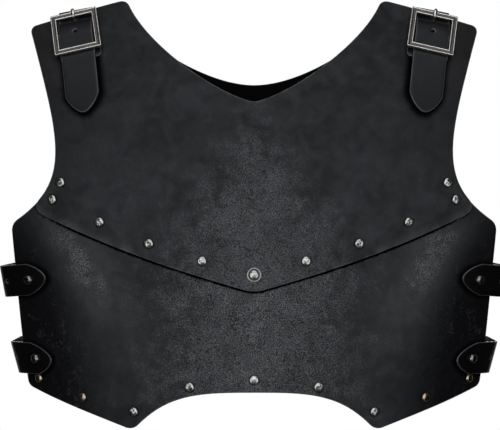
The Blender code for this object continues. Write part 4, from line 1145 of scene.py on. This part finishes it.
def flank_shares(x, z):
    """The painted highlight band on either flank, the painted sheen round it, and the painted shade outside.
    """
    down = -z / PLATE_HEIGHT
    from_band = np.abs(x) - FLANK_BAND_X + FLANK_BAND_SLOPE * (down - FLANK_TOP)
    band, sheen = (
        np.exp(-((from_band / width) ** 2)) * faded(down, *BAND_START) * faded(down, *end)
        for width, end in ((FLANK_BAND_WIDTH, BAND_END), (FLANK_SHEEN_WIDTH, SHEEN_END))
    )
    outside = np.abs(x) - FLANK_DARK_X + FLANK_DARK_SLOPE * (down - FLANK_TOP)
    return band, sheen, faded(outside, -FLANK_DARK_WIDTH / 2, FLANK_DARK_WIDTH) * faded(down, *DARK_START)


def nearness(places, line, reach):
    """How close each place is to the line: 1 on it, 0 from this reach on."""
    return np.clip(1 - gaps_to(line, places) / reach, 0, 1)


def browned_share(x, z):
    """The places where the black has turned brown with use."""
    return np.max([spot(x, z, (across, down), radius) for across, down, radius in BROWNED], 0)


def burnished_share(places, outline):
    """The burnished border of the breast plate, beside the outer parts of the seam."""
    low = outline[:, 1] < -SEAM_SIDE_DOWN * PLATE_HEIGHT
    seam = outline[low & (np.abs(outline[:, 0]) > BURNISHED_FROM)]
    return BURNISHED_STRENGTH * nearness(places, seam, BURNISHED_WIDTH)


def crease_share(places, fasteners, crease):
    """Painted shade, with some dirt, round the fasteners and along the crease."""
    seats = np.array([fastener.flat() for fastener in fasteners])
    near = nearness(places, seats, RIVET_CREASE) * RIVET_CREASE
    grime_and_shade = RIVET_GRIME_AND_SHADE * np.clip(near / RIVET_CREASE_FADE, 0, 1)
    if crease is None:
        return grime_and_shade
    fainter = np.clip((CREASE_FADE_X - np.abs(places[:, 0])) / CREASE_FADE, CREASE_FAINTEST, 1)
    return np.maximum(grime_and_shade, nearness(places, crease, CREASE_WIDTH) * fainter)


def add_plate(name, outline, side, lift, fasteners, materials, crease=None, straps=()):
    """A plate with its marks of use and its painted light and shade; the crease and the straps are outlines
    of what lies on it.
    """

    def place(flat, depth):
        points, normals = surface(flat[:, 0], flat[:, 1], side, lift)
        return points - normals * depth[:, None]

    holes = [fastener.hole_in_plate(lift) for fastener in fasteners]
    extra = [] if crease is None else [offset(crease, -step * CREASE_WIDTH) for step in CREASE_STEPS]
    extra += [circle(fastener.flat(), radius) for fastener in fasteners for radius in RIVET_SURROUND]
    extra += straps
    plate = leather_shell(f"{name}_leather", outline, holes, place, PLATE_WALL, PLATE_PITCH, materials, extra)
    places = np.array([tuple(vertex.co) for vertex in plate.data.vertices])[:, (0, 2)]
    band, sheen, dark = (share * (side == FRONT and lift == 0) for share in flank_shares(*places.T))
    wear_light_and_shade = {
        "rubbed_and_highlit": rubbed_and_highlit_share(*places.T) * (side == FRONT),
        "browned": browned_share(*places.T) * (side == FRONT),
        "band": burnished_share(places, outline) if lift > 0 else band,
        "sheen": sheen,
        "dark": dark,
        "speckled": np.full(len(places), BREAST_SPECKLE if lift > 0 else 1.0),
        "crease": crease_share(places, fasteners, crease),
        "shade": nearness(places, np.vstack(straps), STRAP_SHADE) if len(straps) else np.zeros(len(places)),
    }
    for key, values in wear_light_and_shade.items():
        paint_points(plate.data, key, values)
    stand_for(plate, "plate_leather", name)


# Rivets


class Fastener:
    """A rivet or stud: the node it stands for, where it sits, its cap, and the depth of leather it grips."""

    def __init__(self, node, seat, normal, lift, grip, radius=RIVET_RADIUS, dome=RIVET_DOME):
        self.node = node
        self.seat = np.asarray(seat, float)
        self.normal = np.asarray(normal, float)
        self.lift = lift
        self.grip = grip
        self.radius = radius
        self.dome = dome

    def mirrored(self):
        twin = copy.copy(self)
        twin.node = self.node.replace("right", "left")
        twin.seat, twin.normal = self.seat * MIRROR, self.normal * MIRROR
        return twin

    def flat(self):
        return self.seat[[0, 2]]

    def hole_in_plate(self, lift):
        """The hole's outline in the flat places of a plate whose outer face has this lift."""
        matrix = frame_at(self.seat - self.normal * (self.lift - lift), self.normal)
        ring = circle((0, 0), RIVET_HOLE_RADIUS, RIVET_HOLE_SIDES)
        return clockwise(moved(np.column_stack((ring, ring[:, 0] * 0)), matrix)[:, (0, 2)])

    def build(self, material, random, tarnish_and_reflection):
        """The fastener's mesh, with shallow dents in its cap and a dull middle of tarnish and painted dark
        reflection.
        """
        radii, heights = np.array(self.profile()).T
        turn = turns(CAP_SIDES) + random.uniform(*CAP_TURN)
        x, y = radii[:, None] * np.cos(turn), radii[:, None] * np.sin(turn)
        z = np.repeat(heights[:, None], CAP_SIDES, 1)
        sizes = (self.radius, self.radius, self.radius, self.dome)
        dents = [random.uniform(*limits, DENT_COUNT) * size for limits, size in zip(DENT_RANGES, sizes)]
        for dent_x, dent_y, reach, height in zip(*dents):
            z += height * np.exp(-((x - dent_x) ** 2 + (y - dent_y) ** 2) / reach**2) * (heights[:, None] > 0)
        points = np.stack((x, y, z), -1).reshape(-1, 3)
        matrix = frame_at(self.seat + self.normal * CLEARANCE / 3, self.normal)
        mesh = turned_mesh(self.node, moved(points, matrix), len(radii))
        recess = np.where(heights > 0, 0.0, WASHER_DARKNESS)
        middle = tarnish_and_reflection * np.clip((TARNISH_AND_REFLECTION_MIDDLE - radii / self.radius) / TARNISH_AND_REFLECTION_FADE, 0, 1) * (heights > 0)
        paint_points(mesh, "recess", np.append(np.repeat(recess, CAP_SIDES), (0.0, 0.0)))
        paint_points(mesh, "middle", np.append(np.repeat(middle, CAP_SIDES), (tarnish_and_reflection, 0.0)))
        stand_for(add(f"{self.node}_cap", mesh, [material]), "rivet_steel", self.node)

    def profile(self):
        """Radius and height from the cap's top, down the shank, to the washer behind."""
        rim = min(RIVET_RIM, self.dome * 0.5)
        dome = [
            (self.radius * DOME_BREADTH * math.sin(a), rim + (self.dome - rim) * math.cos(a) ** DOME_FULLNESS)
            for a in np.linspace(*DOME_ANGLES, CAP_RINGS)
        ]
        edge = [(self.radius * across, rim * up) for across, up in RIM_SECTION]
        end = -self.grip - CLEARANCE
        washer = [(WASHER_RADIUS * across, end - WASHER_WALL * down) for across, down in WASHER_SECTION]
        return [*dome, *edge, (SHANK_RADIUS, 0.0), (SHANK_RADIUS, end), *washer]


def turned_mesh(name, points, rings):
    """A closed mesh of rings of CAP_SIDES points each, capped at both ends with a point in the middle."""
    ends = [points[:CAP_SIDES].mean(0), points[-CAP_SIDES:].mean(0)]
    faces = ring_faces(rings, CAP_SIDES)
    top, bottom, last = len(points), len(points) + 1, (rings - 1) * CAP_SIDES
    for i in range(CAP_SIDES):
        j = (i + 1) % CAP_SIDES
        faces += [(top, i, j), (bottom, last + j, last + i)]
    return mesh_of(name, np.vstack((points, ends)), faces)


def plate_fastener(node, shares, lift):
    seat, normal = surface(*place_of(shares), FRONT, lift)
    return Fastener(node, seat, normal, lift, lift + PLATE_WALL)


def row_of_rivets(name, table, lift):
    """The rivets of a table on both sides of the middle, counted from the left."""
    places = sorted({(across, down) for share, down in table for across in (-share, share)})
    return [plate_fastener(f"{name}_rivet_{i}", place, lift) for i, place in enumerate(places, 1)]


def add_seam_ring(rivet, material):
    """The flat ring round the cap of the middle seam rivet."""
    of_hole, of_rim, height, recess = np.array(RING_SECTION).T
    radii = of_hole * RING_HOLE_RADIUS + of_rim * RING_RADIUS
    points = [
        (radius * math.cos(a), radius * math.sin(a), z)
        for radius, z in zip(radii, height * RING_WALL) for a in turns(RING_SIDES)
    ]
    matrix = frame_at(rivet.seat - rivet.normal * CLEARANCE, rivet.normal)
    faces = ring_faces(len(radii), RING_SIDES, closed=True)
    mesh = mesh_of("seam_ring_face", moved(np.array(points), matrix), faces)
    paint_points(mesh, "recess", np.repeat(recess, RING_SIDES))
    stand_for(add("seam_ring_face", mesh, [material]), "buckle_metal", "seam_ring")


# Straps


class StrapPath:
    """A strap's inner face: its middle line and the directions across and outward, from its tip."""

    def __init__(self, distances, middle, across):
        self.distances, self.middle, self.across = distances, middle, across
        self.outward = unit(np.cross(across, np.gradient(middle, axis=0)))

    def at(self, rows, distances):
        return read_off(self.distances, rows, distances)

    def place(self, flat, depth):
        middle, across = self.at(self.middle, flat[:, 1]), self.at(self.across, flat[:, 1])
        outward = unit(self.at(self.outward, flat[:, 1]))
        return middle + across * flat[:, :1] + outward * (STRAP_WALL - depth)[:, None]

    def fastener(self, node, distance, grip, radius=RIVET_RADIUS, dome=RIVET_DOME):
        normal = unit(self.at(self.outward, distance))
        seat = self.at(self.middle, distance) + normal * STRAP_WALL
        return Fastener(node, seat, normal, grip - PLATE_WALL, grip, radius, dome)


def shoulder_front():
    """The right shoulder strap's inner face on the breast plate, from its tip up, the distance of the
    buckle's bar on it, and the buckle's frame."""
    tip, buckle = place_of(STRAP_TIP_AT), place_of(BUCKLE_AT)
    lean = (tip - buckle)[0] / (tip - buckle)[1]

    def points_at(heights, lifts):
        x = buckle[0] + lean * (heights - buckle[1])
        points, normals = surface(x, heights, FRONT, STRAP_ON_BREAST)
        return points + normals * np.asarray(lifts)[..., None]

    shoulder = edge_curve(SHOULDER_EDGE)
    over = np.interp(buckle[0], shoulder[:, 0], shoulder[:, 1]) + SHOULDER_RISE
    heights = np.linspace(tip[1], over, SHOULDER_FRONT_STEPS)
    from_tip = lengths_of(points_at(heights, np.zeros(len(heights))))
    from_bar = from_tip - np.interp(buckle[1], heights, from_tip)
    line = points_at(heights, smooth(STRAP_RISE, from_bar)[0])
    run = points_at(buckle[1] + SURFACE_STEP, 0.0) - points_at(buckle[1] - SURFACE_STEP, 0.0)
    point, normal = surface(*buckle, FRONT, BREAST_LIFT)
    return line, np.interp(buckle[1], heights, lengths_of(line)), frame_at(point, normal, run)


def across_shoulder(distances, middle, crown):
    """Directions across the strap: level with the plates before and behind the crown, and turning over it."""
    tangent = unit(np.gradient(middle, axis=0))
    across = np.empty_like(middle)
    ends = []
    for side, part in ((FRONT, distances <= crown[0]), (BACK, distances >= crown[1])):
        normals = surface(middle[part, 0], middle[part, 2], side)[1]
        across[part] = unit(np.cross(tangent[part], normals))
        ends.append(across[part][-1 if side == FRONT else 0])
    between = (distances > crown[0]) & (distances < crown[1])
    turn = ((distances[between] - crown[0]) / (crown[1] - crown[0]))[:, None]
    mixed = ends[0] * (1 - turn) + ends[1] * turn
    run = tangent[between]
    across[between] = unit(mixed - run * (mixed * run).sum(1, keepdims=True))
    return across


def shoulder_path():
    """The right shoulder strap's path, the distance of the buckle's bar on it, and the buckle's frame."""
    front, bar_distance, buckle_frame = shoulder_front()
    top, end = place_of(STRAP_BACK_TOP_AT), place_of(STRAP_BACK_END_AT)
    x, z = (top + (end - top) * np.linspace(0, 1, SHOULDER_BACK_STEPS)[:, None]).T
    back = surface(x, z, BACK, CLEARANCE)[0]
    line = rounded([front, np.array((front[-1], back[0])), back], [SHOULDER_BEND] * 2)
    total = lengths_of(line)[-1]
    distances = np.linspace(0, total, SHOULDER_STEPS)
    middle = along(line, distances)
    crown = lengths_of(front)[-1] - SHOULDER_BEND, total - lengths_of(back)[-1] + SHOULDER_BEND
    return StrapPath(distances, middle, across_shoulder(distances, middle, crown)), bar_distance, buckle_frame


def side_path(z, stand):
    """The strap's inner face at this height: over the front plate, round the side, over the back plate."""
    side_edge = edge_curve(SIDE_EDGE)
    edge = np.interp(-z, -side_edge[:, 1], side_edge[:, 0])
    runs = []
    for side in (FRONT, BACK):
        xs = np.linspace(edge - SIDE_STRAP_ON_PLATE, edge, SIDE_PLATE_STEPS)
        on_plate = surface(xs, np.full(xs.shape, z), side, SIDE_STRAP_LIFT)[0]
        outward = on_plate[-1] - on_plate[-4]
        runs.append(np.vstack((on_plate, on_plate[-1] + outward * (stand / outward[0]))))
    front, back = runs
    path = rounded([front, np.array((front[-1], back[-1])), back[::-1]], [STRAP_FOLD, STRAP_FOLD])
    return path, lengths_of(front)[-1]


def side_strap_path(down, upper_stand, lower_stand, front_tail, droop):
    """A right side strap's path, straight across between its upper and lower edge, and its length."""
    edges = []
    for stand, above_middle in ((upper_stand, 0.5), (lower_stand, -0.5)):
        height = SIDE_STRAP_WIDTH * above_middle - down * PLATE_HEIGHT
        path, fold_at = side_path(height, stand * HALF_BREADTH)
        edges.append((path, fold_at - front_tail))
    upper, start = edges[0]
    back_fold = np.flatnonzero((upper[:-1, 1] > 0) & (np.diff(upper[:, 0]) < 0))[0]
    length = lengths_of(upper)[back_fold] - start + SIDE_STRAP_BACK_TAIL
    distances = np.linspace(0, length, SIDE_STEPS)
    upper_line, lower_line = (along(path, distances + start) for path, start in edges)
    middle = (upper_line + lower_line) / 2
    middle[:, 2] -= smooth(((0.0, 0.0), (front_tail, droop)), distances)[0]
    return StrapPath(distances, middle, (lower_line - upper_line) / SIDE_STRAP_WIDTH), length


def add_strap(name, outline, holes, path, materials, black=0.0):
    """The strap on both sides; hands back its outlines over the front plates, as seen from the front."""
    title = f"{name}_right_leather"
    right = leather_shell(title, outline, holes, path.place, STRAP_WALL, STRAP_PITCH, materials)
    paint_points(right.data, "black", np.full(len(right.data.vertices), black))
    stand_for_both(right, "strap_leather", name)
    edge = path.place(outline, np.full(len(outline), STRAP_WALL))
    edge = edge[edge[:, 1] < 0][:, (0, 2)] + SHADE_SHIFT
    return [edge, edge * (-1, 1)]


def add_side_straps(materials):
    """Both straps of each side; hands back the front studs, the rear rivets and the straps' outlines."""
    studs, rivets, edges = [], [], []
    grip = STRAP_WALL + SIDE_STRAP_LIFT + PLATE_WALL
    for name, *sizes in SIDE_STRAPS:
        path, length = side_strap_path(*sizes)
        rear = length - BACK_RIVET_FROM_END
        stud = path.fastener(f"side_stud_{name}_right", SIDE_STUD_FROM_TIP, grip, STUD_RADIUS, STUD_DOME)
        rivet = path.fastener(f"side_rivet_{name}_right", rear, grip)
        holes = [circle((0, at), RIVET_HOLE_RADIUS) for at in (SIDE_STUD_FROM_TIP, rear)]
        for i in range(1, SIDE_HOLE_COUNT + 1):
            holes.append(circle((0, SIDE_STUD_FROM_TIP + SIDE_HOLE_PITCH * i), STRAP_HOLE_RADIUS))
        outline = pointed_strip(SIDE_STRAP_WIDTH, length, SIDE_STRAP_POINT)
        # The side straps get the full painted shade
        edges += add_strap(f"side_strap_{name}", outline, holes, path, materials, 1.0)
        studs += [stud, stud.mirrored()]
        rivets += [rivet, rivet.mirrored()]
    return studs, rivets, edges


def add_shoulder_straps(materials):
    """Both shoulder straps; hands back the right buckle's frame, the rear rivets and the straps' outlines."""
    path, bar_distance, buckle_frame = shoulder_path()
    length = path.distances[-1]
    ends = [length - BACK_RIVET_FROM_END - i * BACK_RIVET_PITCH for i in range(2)]
    grip = STRAP_WALL + CLEARANCE + PLATE_WALL
    rivets = [path.fastener(f"shoulder_rivet_right_{i}", at, grip) for i, at in enumerate(ends, 1)]
    used = bar_distance + BUCKLE_SIDE / 2 - BUCKLE_BAR - USED_HOLE_FROM_TOP_BAR
    holes = [circle((0, at), RIVET_HOLE_RADIUS) for at in ends]
    holes.append(circle((0, bar_distance), STRAP_HOLE_RADIUS))
    holes.append(slot_loop((0, used), USED_HOLE_WIDTH, USED_HOLE_LENGTH))
    outline = pointed_strip(SHOULDER_STRAP_WIDTH, length, SHOULDER_STRAP_POINT)
    edges = add_strap("shoulder_strap", outline, holes, path, materials)
    edges = [edge[edge[:, 1] < SHADE_TOP] for edge in edges]
    return buckle_frame, rivets + [rivet.mirrored() for rivet in rivets], edges


# Buckles


def square_ring(half, corner, side_points, corner_points=5):
    """Points round a square with rounded corners, the same number whatever its size."""
    points = []
    reach = half - corner
    for quarter in range(4):
        angle = quarter * math.pi / 2
        across = np.array((math.cos(angle), math.sin(angle)))
        up = np.array((-math.sin(angle), math.cos(angle)))
        for t in np.linspace(-1, 1, side_points):
            points.append(across * half + up * reach * t)
        for turn in np.linspace(0, math.pi / 2, corner_points + 2)[1:-1]:
            points.append((across + up) * reach + corner * (across * math.cos(turn) + up * math.sin(turn)))
    return np.array(points)


def centre_bar():
    """The round centre bar, with a foot at each end up into the frame."""
    reach = (BUCKLE_SIDE - BUCKLE_BAR) / 2
    points = [
        (x, CENTRE_BAR_RADIUS * math.cos(a), CENTRE_BAR_LIFT + CENTRE_BAR_RADIUS * math.sin(a))
        for x in (-reach, reach) for a in turns(BAR_SIDES)
    ]
    faces = ring_faces(2, BAR_SIDES)
    bottom, top = CENTRE_BAR_LIFT - CENTRE_BAR_RADIUS, BUCKLE_LIFT + BUCKLE_WALL * BAR_FOOT_BITE
    for x in (-reach, reach):
        start = len(points)
        for z in (bottom, top):
            for dx, dy in ((-1, -1), (1, -1), (1, 1), (-1, 1)):
                points.append((x + dx * BAR_FOOT_BREADTH / 2, dy * BAR_FOOT_LENGTH / 2, z))
        box = [(3, 2, 1, 0), (4, 5, 6, 7), *[(i, (i + 1) % 4, (i + 1) % 4 + 4, i + 4) for i in range(4)]]
        faces += [tuple(start + i for i in face) for face in box]
    return np.array(points), faces


def buckle_mesh(name, matrix):
    """The square frame: two raised rims with a finely hatched channel between them, and the centre bar."""
    side_points = int(BUCKLE_SIDE / HATCH_STEP)
    rings, recess = [], []
    for inward, height, channel in BUCKLE_SECTION:
        corner = BUCKLE_CORNER * (1 - BUCKLE_CORNER_CLOSING * inward)
        ring = square_ring(BUCKLE_SIDE / 2 - inward * BUCKLE_BAR, corner, side_points)
        lean = (ring[:, 0] + ring[:, 1]) / HATCH_PITCH
        hatch = HATCH_HEIGHT * channel * np.abs((lean % 1) * 2 - 1)
        rings.append(np.column_stack((ring, BUCKLE_LIFT + BUCKLE_WALL * height + hatch)))
        dark = channel * (1 - HATCH_SHINE * hatch / HATCH_HEIGHT)
        recess.append(dark + BUCKLE_FOOT_DARKNESS * (height < BUCKLE_FOOT))
    faces = ring_faces(len(rings), len(rings[0]), closed=True, flipped=True)
    start = len(rings) * len(rings[0])
    bar_points, bar_faces = centre_bar()
    faces += [tuple(i + start for i in face) for face in bar_faces]
    mesh = mesh_of(name, moved(np.vstack((*rings, bar_points)), matrix), faces)
    paint_points(mesh, "recess", np.concatenate((*recess, np.full(len(bar_points), CENTRE_BAR_DARKNESS))))
    return mesh


def prong_mesh(name, matrix):
    """The tongue: a wire looped round the centre bar, up through the used hole and over the top bar."""
    loop = CENTRE_BAR_RADIUS + CLEARANCE + PRONG_RADIUS
    bends = [math.radians(turn - 90) for turn in PRONG_LOOP]
    knots = [(loop * math.sin(turn), CENTRE_BAR_LIFT + loop * math.cos(turn), 1.0, 1.0) for turn in bends]
    top_bar = BUCKLE_SIDE / 2 - BUCKLE_BAR
    rise = BUCKLE_LIFT + BUCKLE_WALL + CLEARANCE + PRONG_RADIUS - CENTRE_BAR_LIFT
    for window, bar, risen, *rest in PRONG_RUN:
        knots.append((top_bar * window + BUCKLE_BAR * bar, CENTRE_BAR_LIFT + rise * risen, *rest))
    reach = lengths_of(np.array(knots)[:, :2])
    fine = smooth(np.column_stack((reach, knots)), np.linspace(0, reach[-1], PRONG_STEPS)).T
    line, thickness, recess = fine[:, :2], fine[:, 2], fine[:, 3]
    tangent = unit(np.gradient(line, axis=0))
    half_width = PRONG_RADIUS * PRONG_FLATTENING
    points = [
        (half_width * size * math.cos(a), *(place + out * PRONG_RADIUS * size * math.sin(a)))
        for place, out, size in zip(line, left_of(tangent), thickness) for a in turns(PRONG_SIDES)
    ]
    faces = ring_faces(len(line), PRONG_SIDES, flipped=True)
    last = (len(line) - 1) * PRONG_SIDES
    faces += [tuple(range(PRONG_SIDES))[::-1], tuple(last + i for i in range(PRONG_SIDES))]
    mesh = mesh_of(name, moved(np.array(points), matrix), faces)
    # Painted shade where the prong lies under the strap and round the centre bar
    paint_points(mesh, "recess", np.repeat(np.clip(recess, 0, 1), PRONG_SIDES))
    return mesh


def add_buckles(matrix):
    """Both buckles and their prongs, turned and shifted a little from where the straps would have them."""
    matrix = matrix @ np.array(Matrix.Rotation(-BUCKLE_TURN, 4, "Z"))
    matrix[:3, 3] += matrix[:3, 1] * BUCKLE_SHIFT
    for name, shape, look in (("buckle", buckle_mesh, "buckle_metal"), ("prong", prong_mesh, "prong_steel")):
        piece = add(f"{name}_right_piece", shape(name, matrix), [metal(look)])
        stand_for_both(piece, "buckle_metal", name)


def chape_outline(length):
    """The tab laid flat (across, along): its wide tail, then the narrow part that goes round the bar."""
    half, tail_half = BUCKLE_SIDE / 2 - BUCKLE_BAR - CLEARANCE, CHAPE_TAIL_WIDTH / 2
    narrow = CHAPE_TAIL - CHAPE_TAIL_FROM
    outer_side, inner_side = tail_half - CHAPE_TAIL_SHIFT, -tail_half - CHAPE_TAIL_SHIFT
    corners = np.array((
        (0, 0), (outer_side, 0), (outer_side, narrow), (half, narrow), (half, length),
        (-half, length), (-half, narrow), (inner_side, narrow), (inner_side, 0), (0, 0),
    ))
    lines = [corners[i:i + 2] for i in range(len(corners) - 1)]
    return evenly(rounded(lines, [*CHAPE_CUTS, *CHAPE_CUTS[::-1]]))


def add_chape(matrix, materials):
    """The tab: folded round the centre bar, riveted to the breast plate, its wider tail below the buckle."""
    outer = CENTRE_BAR_RADIUS + CLEARANCE + CHAPE_WALL
    arc = np.radians(np.linspace(-90, 90, BEND_STEPS))
    bend = np.stack((outer * np.cos(arc), CENTRE_BAR_LIFT + outer * np.sin(arc)), -1)
    top = 2 * (CLEARANCE + CHAPE_WALL)
    tail = np.array(((-CHAPE_TAIL, CLEARANCE), (-CHAPE_STEP, CLEARANCE)))
    line = np.vstack((tail, bend, ((-CHAPE_STEP, top), (-CHAPE_RETURN, top))))
    total = lengths_of(line)[-1]
    line = along(line, np.linspace(0, total, CHAPE_STEPS))
    lengths = lengths_of(line)
    outward = left_of(unit(np.gradient(line, axis=0)))

    def place(flat, depth):
        lift = unit(read_off(lengths, outward, flat[:, 1]))
        spots = along(line, flat[:, 1]) + lift * (CHAPE_WALL - depth)[:, None]
        points = moved(np.column_stack((flat[:, 0], spots)), matrix)
        on_plate = surface(points[:, 0], points[:, 2], FRONT, BREAST_LIFT)[0]
        level = moved(np.column_stack((flat[:, 0], spots[:, 0], spots[:, 1] * 0)), matrix)
        sag = np.maximum(0.0, ((level - on_plate) * matrix[:3, 2]).sum(1))
        return points - matrix[:3, 2] * sag[:, None]

    bar_at = lengths_of(np.vstack((tail, bend[:BEND_STEPS // 2 + 1])))[-1]
    rivet_ats = lengths[-1] - (CHAPE_RETURN - CHAPE_RIVET_FROM_BAR), CHAPE_TAIL - CHAPE_RIVET_FROM_BAR
    holes = [circle((0, at), RIVET_HOLE_RADIUS) for at in rivet_ats]
    slot_width = 2 * (PRONG_RADIUS * PRONG_FLATTENING + CLEARANCE * 2)
    holes.append(slot_loop((0, bar_at), slot_width, CHAPE_SLOT_LENGTH))
    outline = chape_outline(lengths[-1])
    tab = leather_shell("chape_right_leather", outline, holes, place, CHAPE_WALL, STRAP_PITCH, materials)
    stand_for_both(tab, "strap_leather", "chape")
    seat = moved(np.array((0, -CHAPE_RIVET_FROM_BAR, top)), matrix)
    lift, grip = BREAST_LIFT + top, top + PLATE_WALL
    rivet = Fastener("chape_rivet_right", seat, matrix[:3, 2], lift, grip, FLAT_HEAD_RADIUS, FLAT_HEAD)
    return [rivet, rivet.mirrored()]


# Stage, light and camera


def add_floor():
    turn = turns(FLOOR_SIDES)
    rim = np.stack((FLOOR_RADIUS * np.cos(turn), FLOOR_RADIUS * np.sin(turn), turn * 0 + FLOOR_HEIGHT), -1)
    faces = [(0, i + 1, (i + 1) % FLOOR_SIDES + 1) for i in range(FLOOR_SIDES)]
    mesh = mesh_of("floor", np.vstack(((0, 0, FLOOR_HEIGHT), rim)), faces)
    mesh.materials.append(plain_floor())
    floor = new_object("floor", mesh)
    floor.visible_diffuse = False
    floor.visible_glossy = False


def add_light(name, place, size, power):
    light = bpy.data.lights.new(name, "AREA")
    light.shape = "RECTANGLE"
    light.size, light.size_y = size
    light.energy = power
    obj = new_object(name, light)
    obj.location = place
    obj.rotation_euler = (Vector(LIGHT_TARGET) - Vector(place)).to_track_quat("-Z", "Y").to_euler()


def light_scene():
    """A white surround for the camera, a dim one with a bright backdrop for the light, and soft boxes."""
    world = bpy.data.worlds.new("studio")
    bpy.context.scene.world = world
    nodes = Nodes(world)
    direction = nodes.node("ShaderNodeTexCoord").outputs["Generated"]
    backward = nodes.node("ShaderNodeSeparateXYZ", {"Vector": direction}).outputs["Y"]
    unseen = nodes.ramp(backward, BACKDROP_FROM, BACKDROP_FULL, AMBIENT, BACKDROP)
    seen = nodes.node("ShaderNodeLightPath").outputs["Is Camera Ray"]
    ground = nodes.tree.nodes["Background"]
    nodes.set(ground.inputs["Color"], WHITE)
    nodes.set(ground.inputs["Strength"], nodes.ramp(seen, 0.0, 1.0, unseen, 1.0))
    for name, place, size, power in SOFT_BOXES:
        for side in (-1, 1) if place[0] else (1,):
            add_light(f"{name}_{side}", (place[0] * side, *place[1:]), size, power)


def add_camera():
    camera = bpy.data.cameras.new("camera")
    camera.sensor_width = SENSOR
    camera.lens = SENSOR * CAMERA_DISTANCE / FRAME_WIDTH
    camera.shift_x, camera.shift_y = FRAME_SHIFT
    obj = new_object("camera", camera)
    obj.location = (0.0, -CAMERA_DISTANCE, CAMERA_HEIGHT)
    obj.rotation_euler = (math.pi / 2, 0.0, 0.0)
    bpy.context.scene.camera = obj


def build():
    random = np.random.default_rng(RANDOM_SEED)
    flesh, cut = flesh_side(), cut_edge()
    plate_set, strap_set = [plate_leather(), flesh, cut], [strap_leather(), flesh, cut]
    steel, brass, dark_steel = (cap_metal(name) for name in CAP_METALS)

    buckle_frame, shoulder_rivets, shoulders = add_shoulder_straps(strap_set)
    studs, side_rivets, flanks = add_side_straps(strap_set)
    chape_rivets = add_chape(buckle_frame, strap_set)
    add_buckles(buckle_frame)

    arms = [plate_fastener(f"arm_rivet_right_{i}", at, BREAST_LIFT) for i, at in enumerate(ARM_RIVETS, 1)]
    arms += [rivet.mirrored() for rivet in arms]
    seam = row_of_rivets("seam", SEAM_RIVETS, BREAST_LIFT)
    hem = row_of_rivets("hem", HEM_RIVETS, 0.0)
    breast = breast_outline()
    on_breast, on_belly = arms + seam + chape_rivets, arms + seam + hem + studs
    add_plate("breast_plate", breast, FRONT, BREAST_LIFT, on_breast, plate_set, None, shoulders)
    add_plate("belly_plate", belly_outline(), FRONT, 0.0, on_belly, plate_set, breast, flanks)
    add_plate("back_plate", back_outline(), BACK, 0.0, side_rivets + shoulder_rivets, plate_set)
    add_seam_ring(seam[len(seam) // 2], metal("ring_steel"))
    for fastener in arms + seam + hem + side_rivets + shoulder_rivets + chape_rivets:
        tarnish_and_reflection = LESS_TARNISH_AND_REFLECTION if fastener.node in PALE_RIVETS else 1.0
        fastener.build(brass if fastener.node in WARM_RIVETS else steel, random, tarnish_and_reflection)
    for stud in studs:
        stud.build(dark_steel, random, 1.0)

    add_floor()
    light_scene()
    add_camera()
    bpy.context.scene.view_settings.view_transform = "Standard"


build()
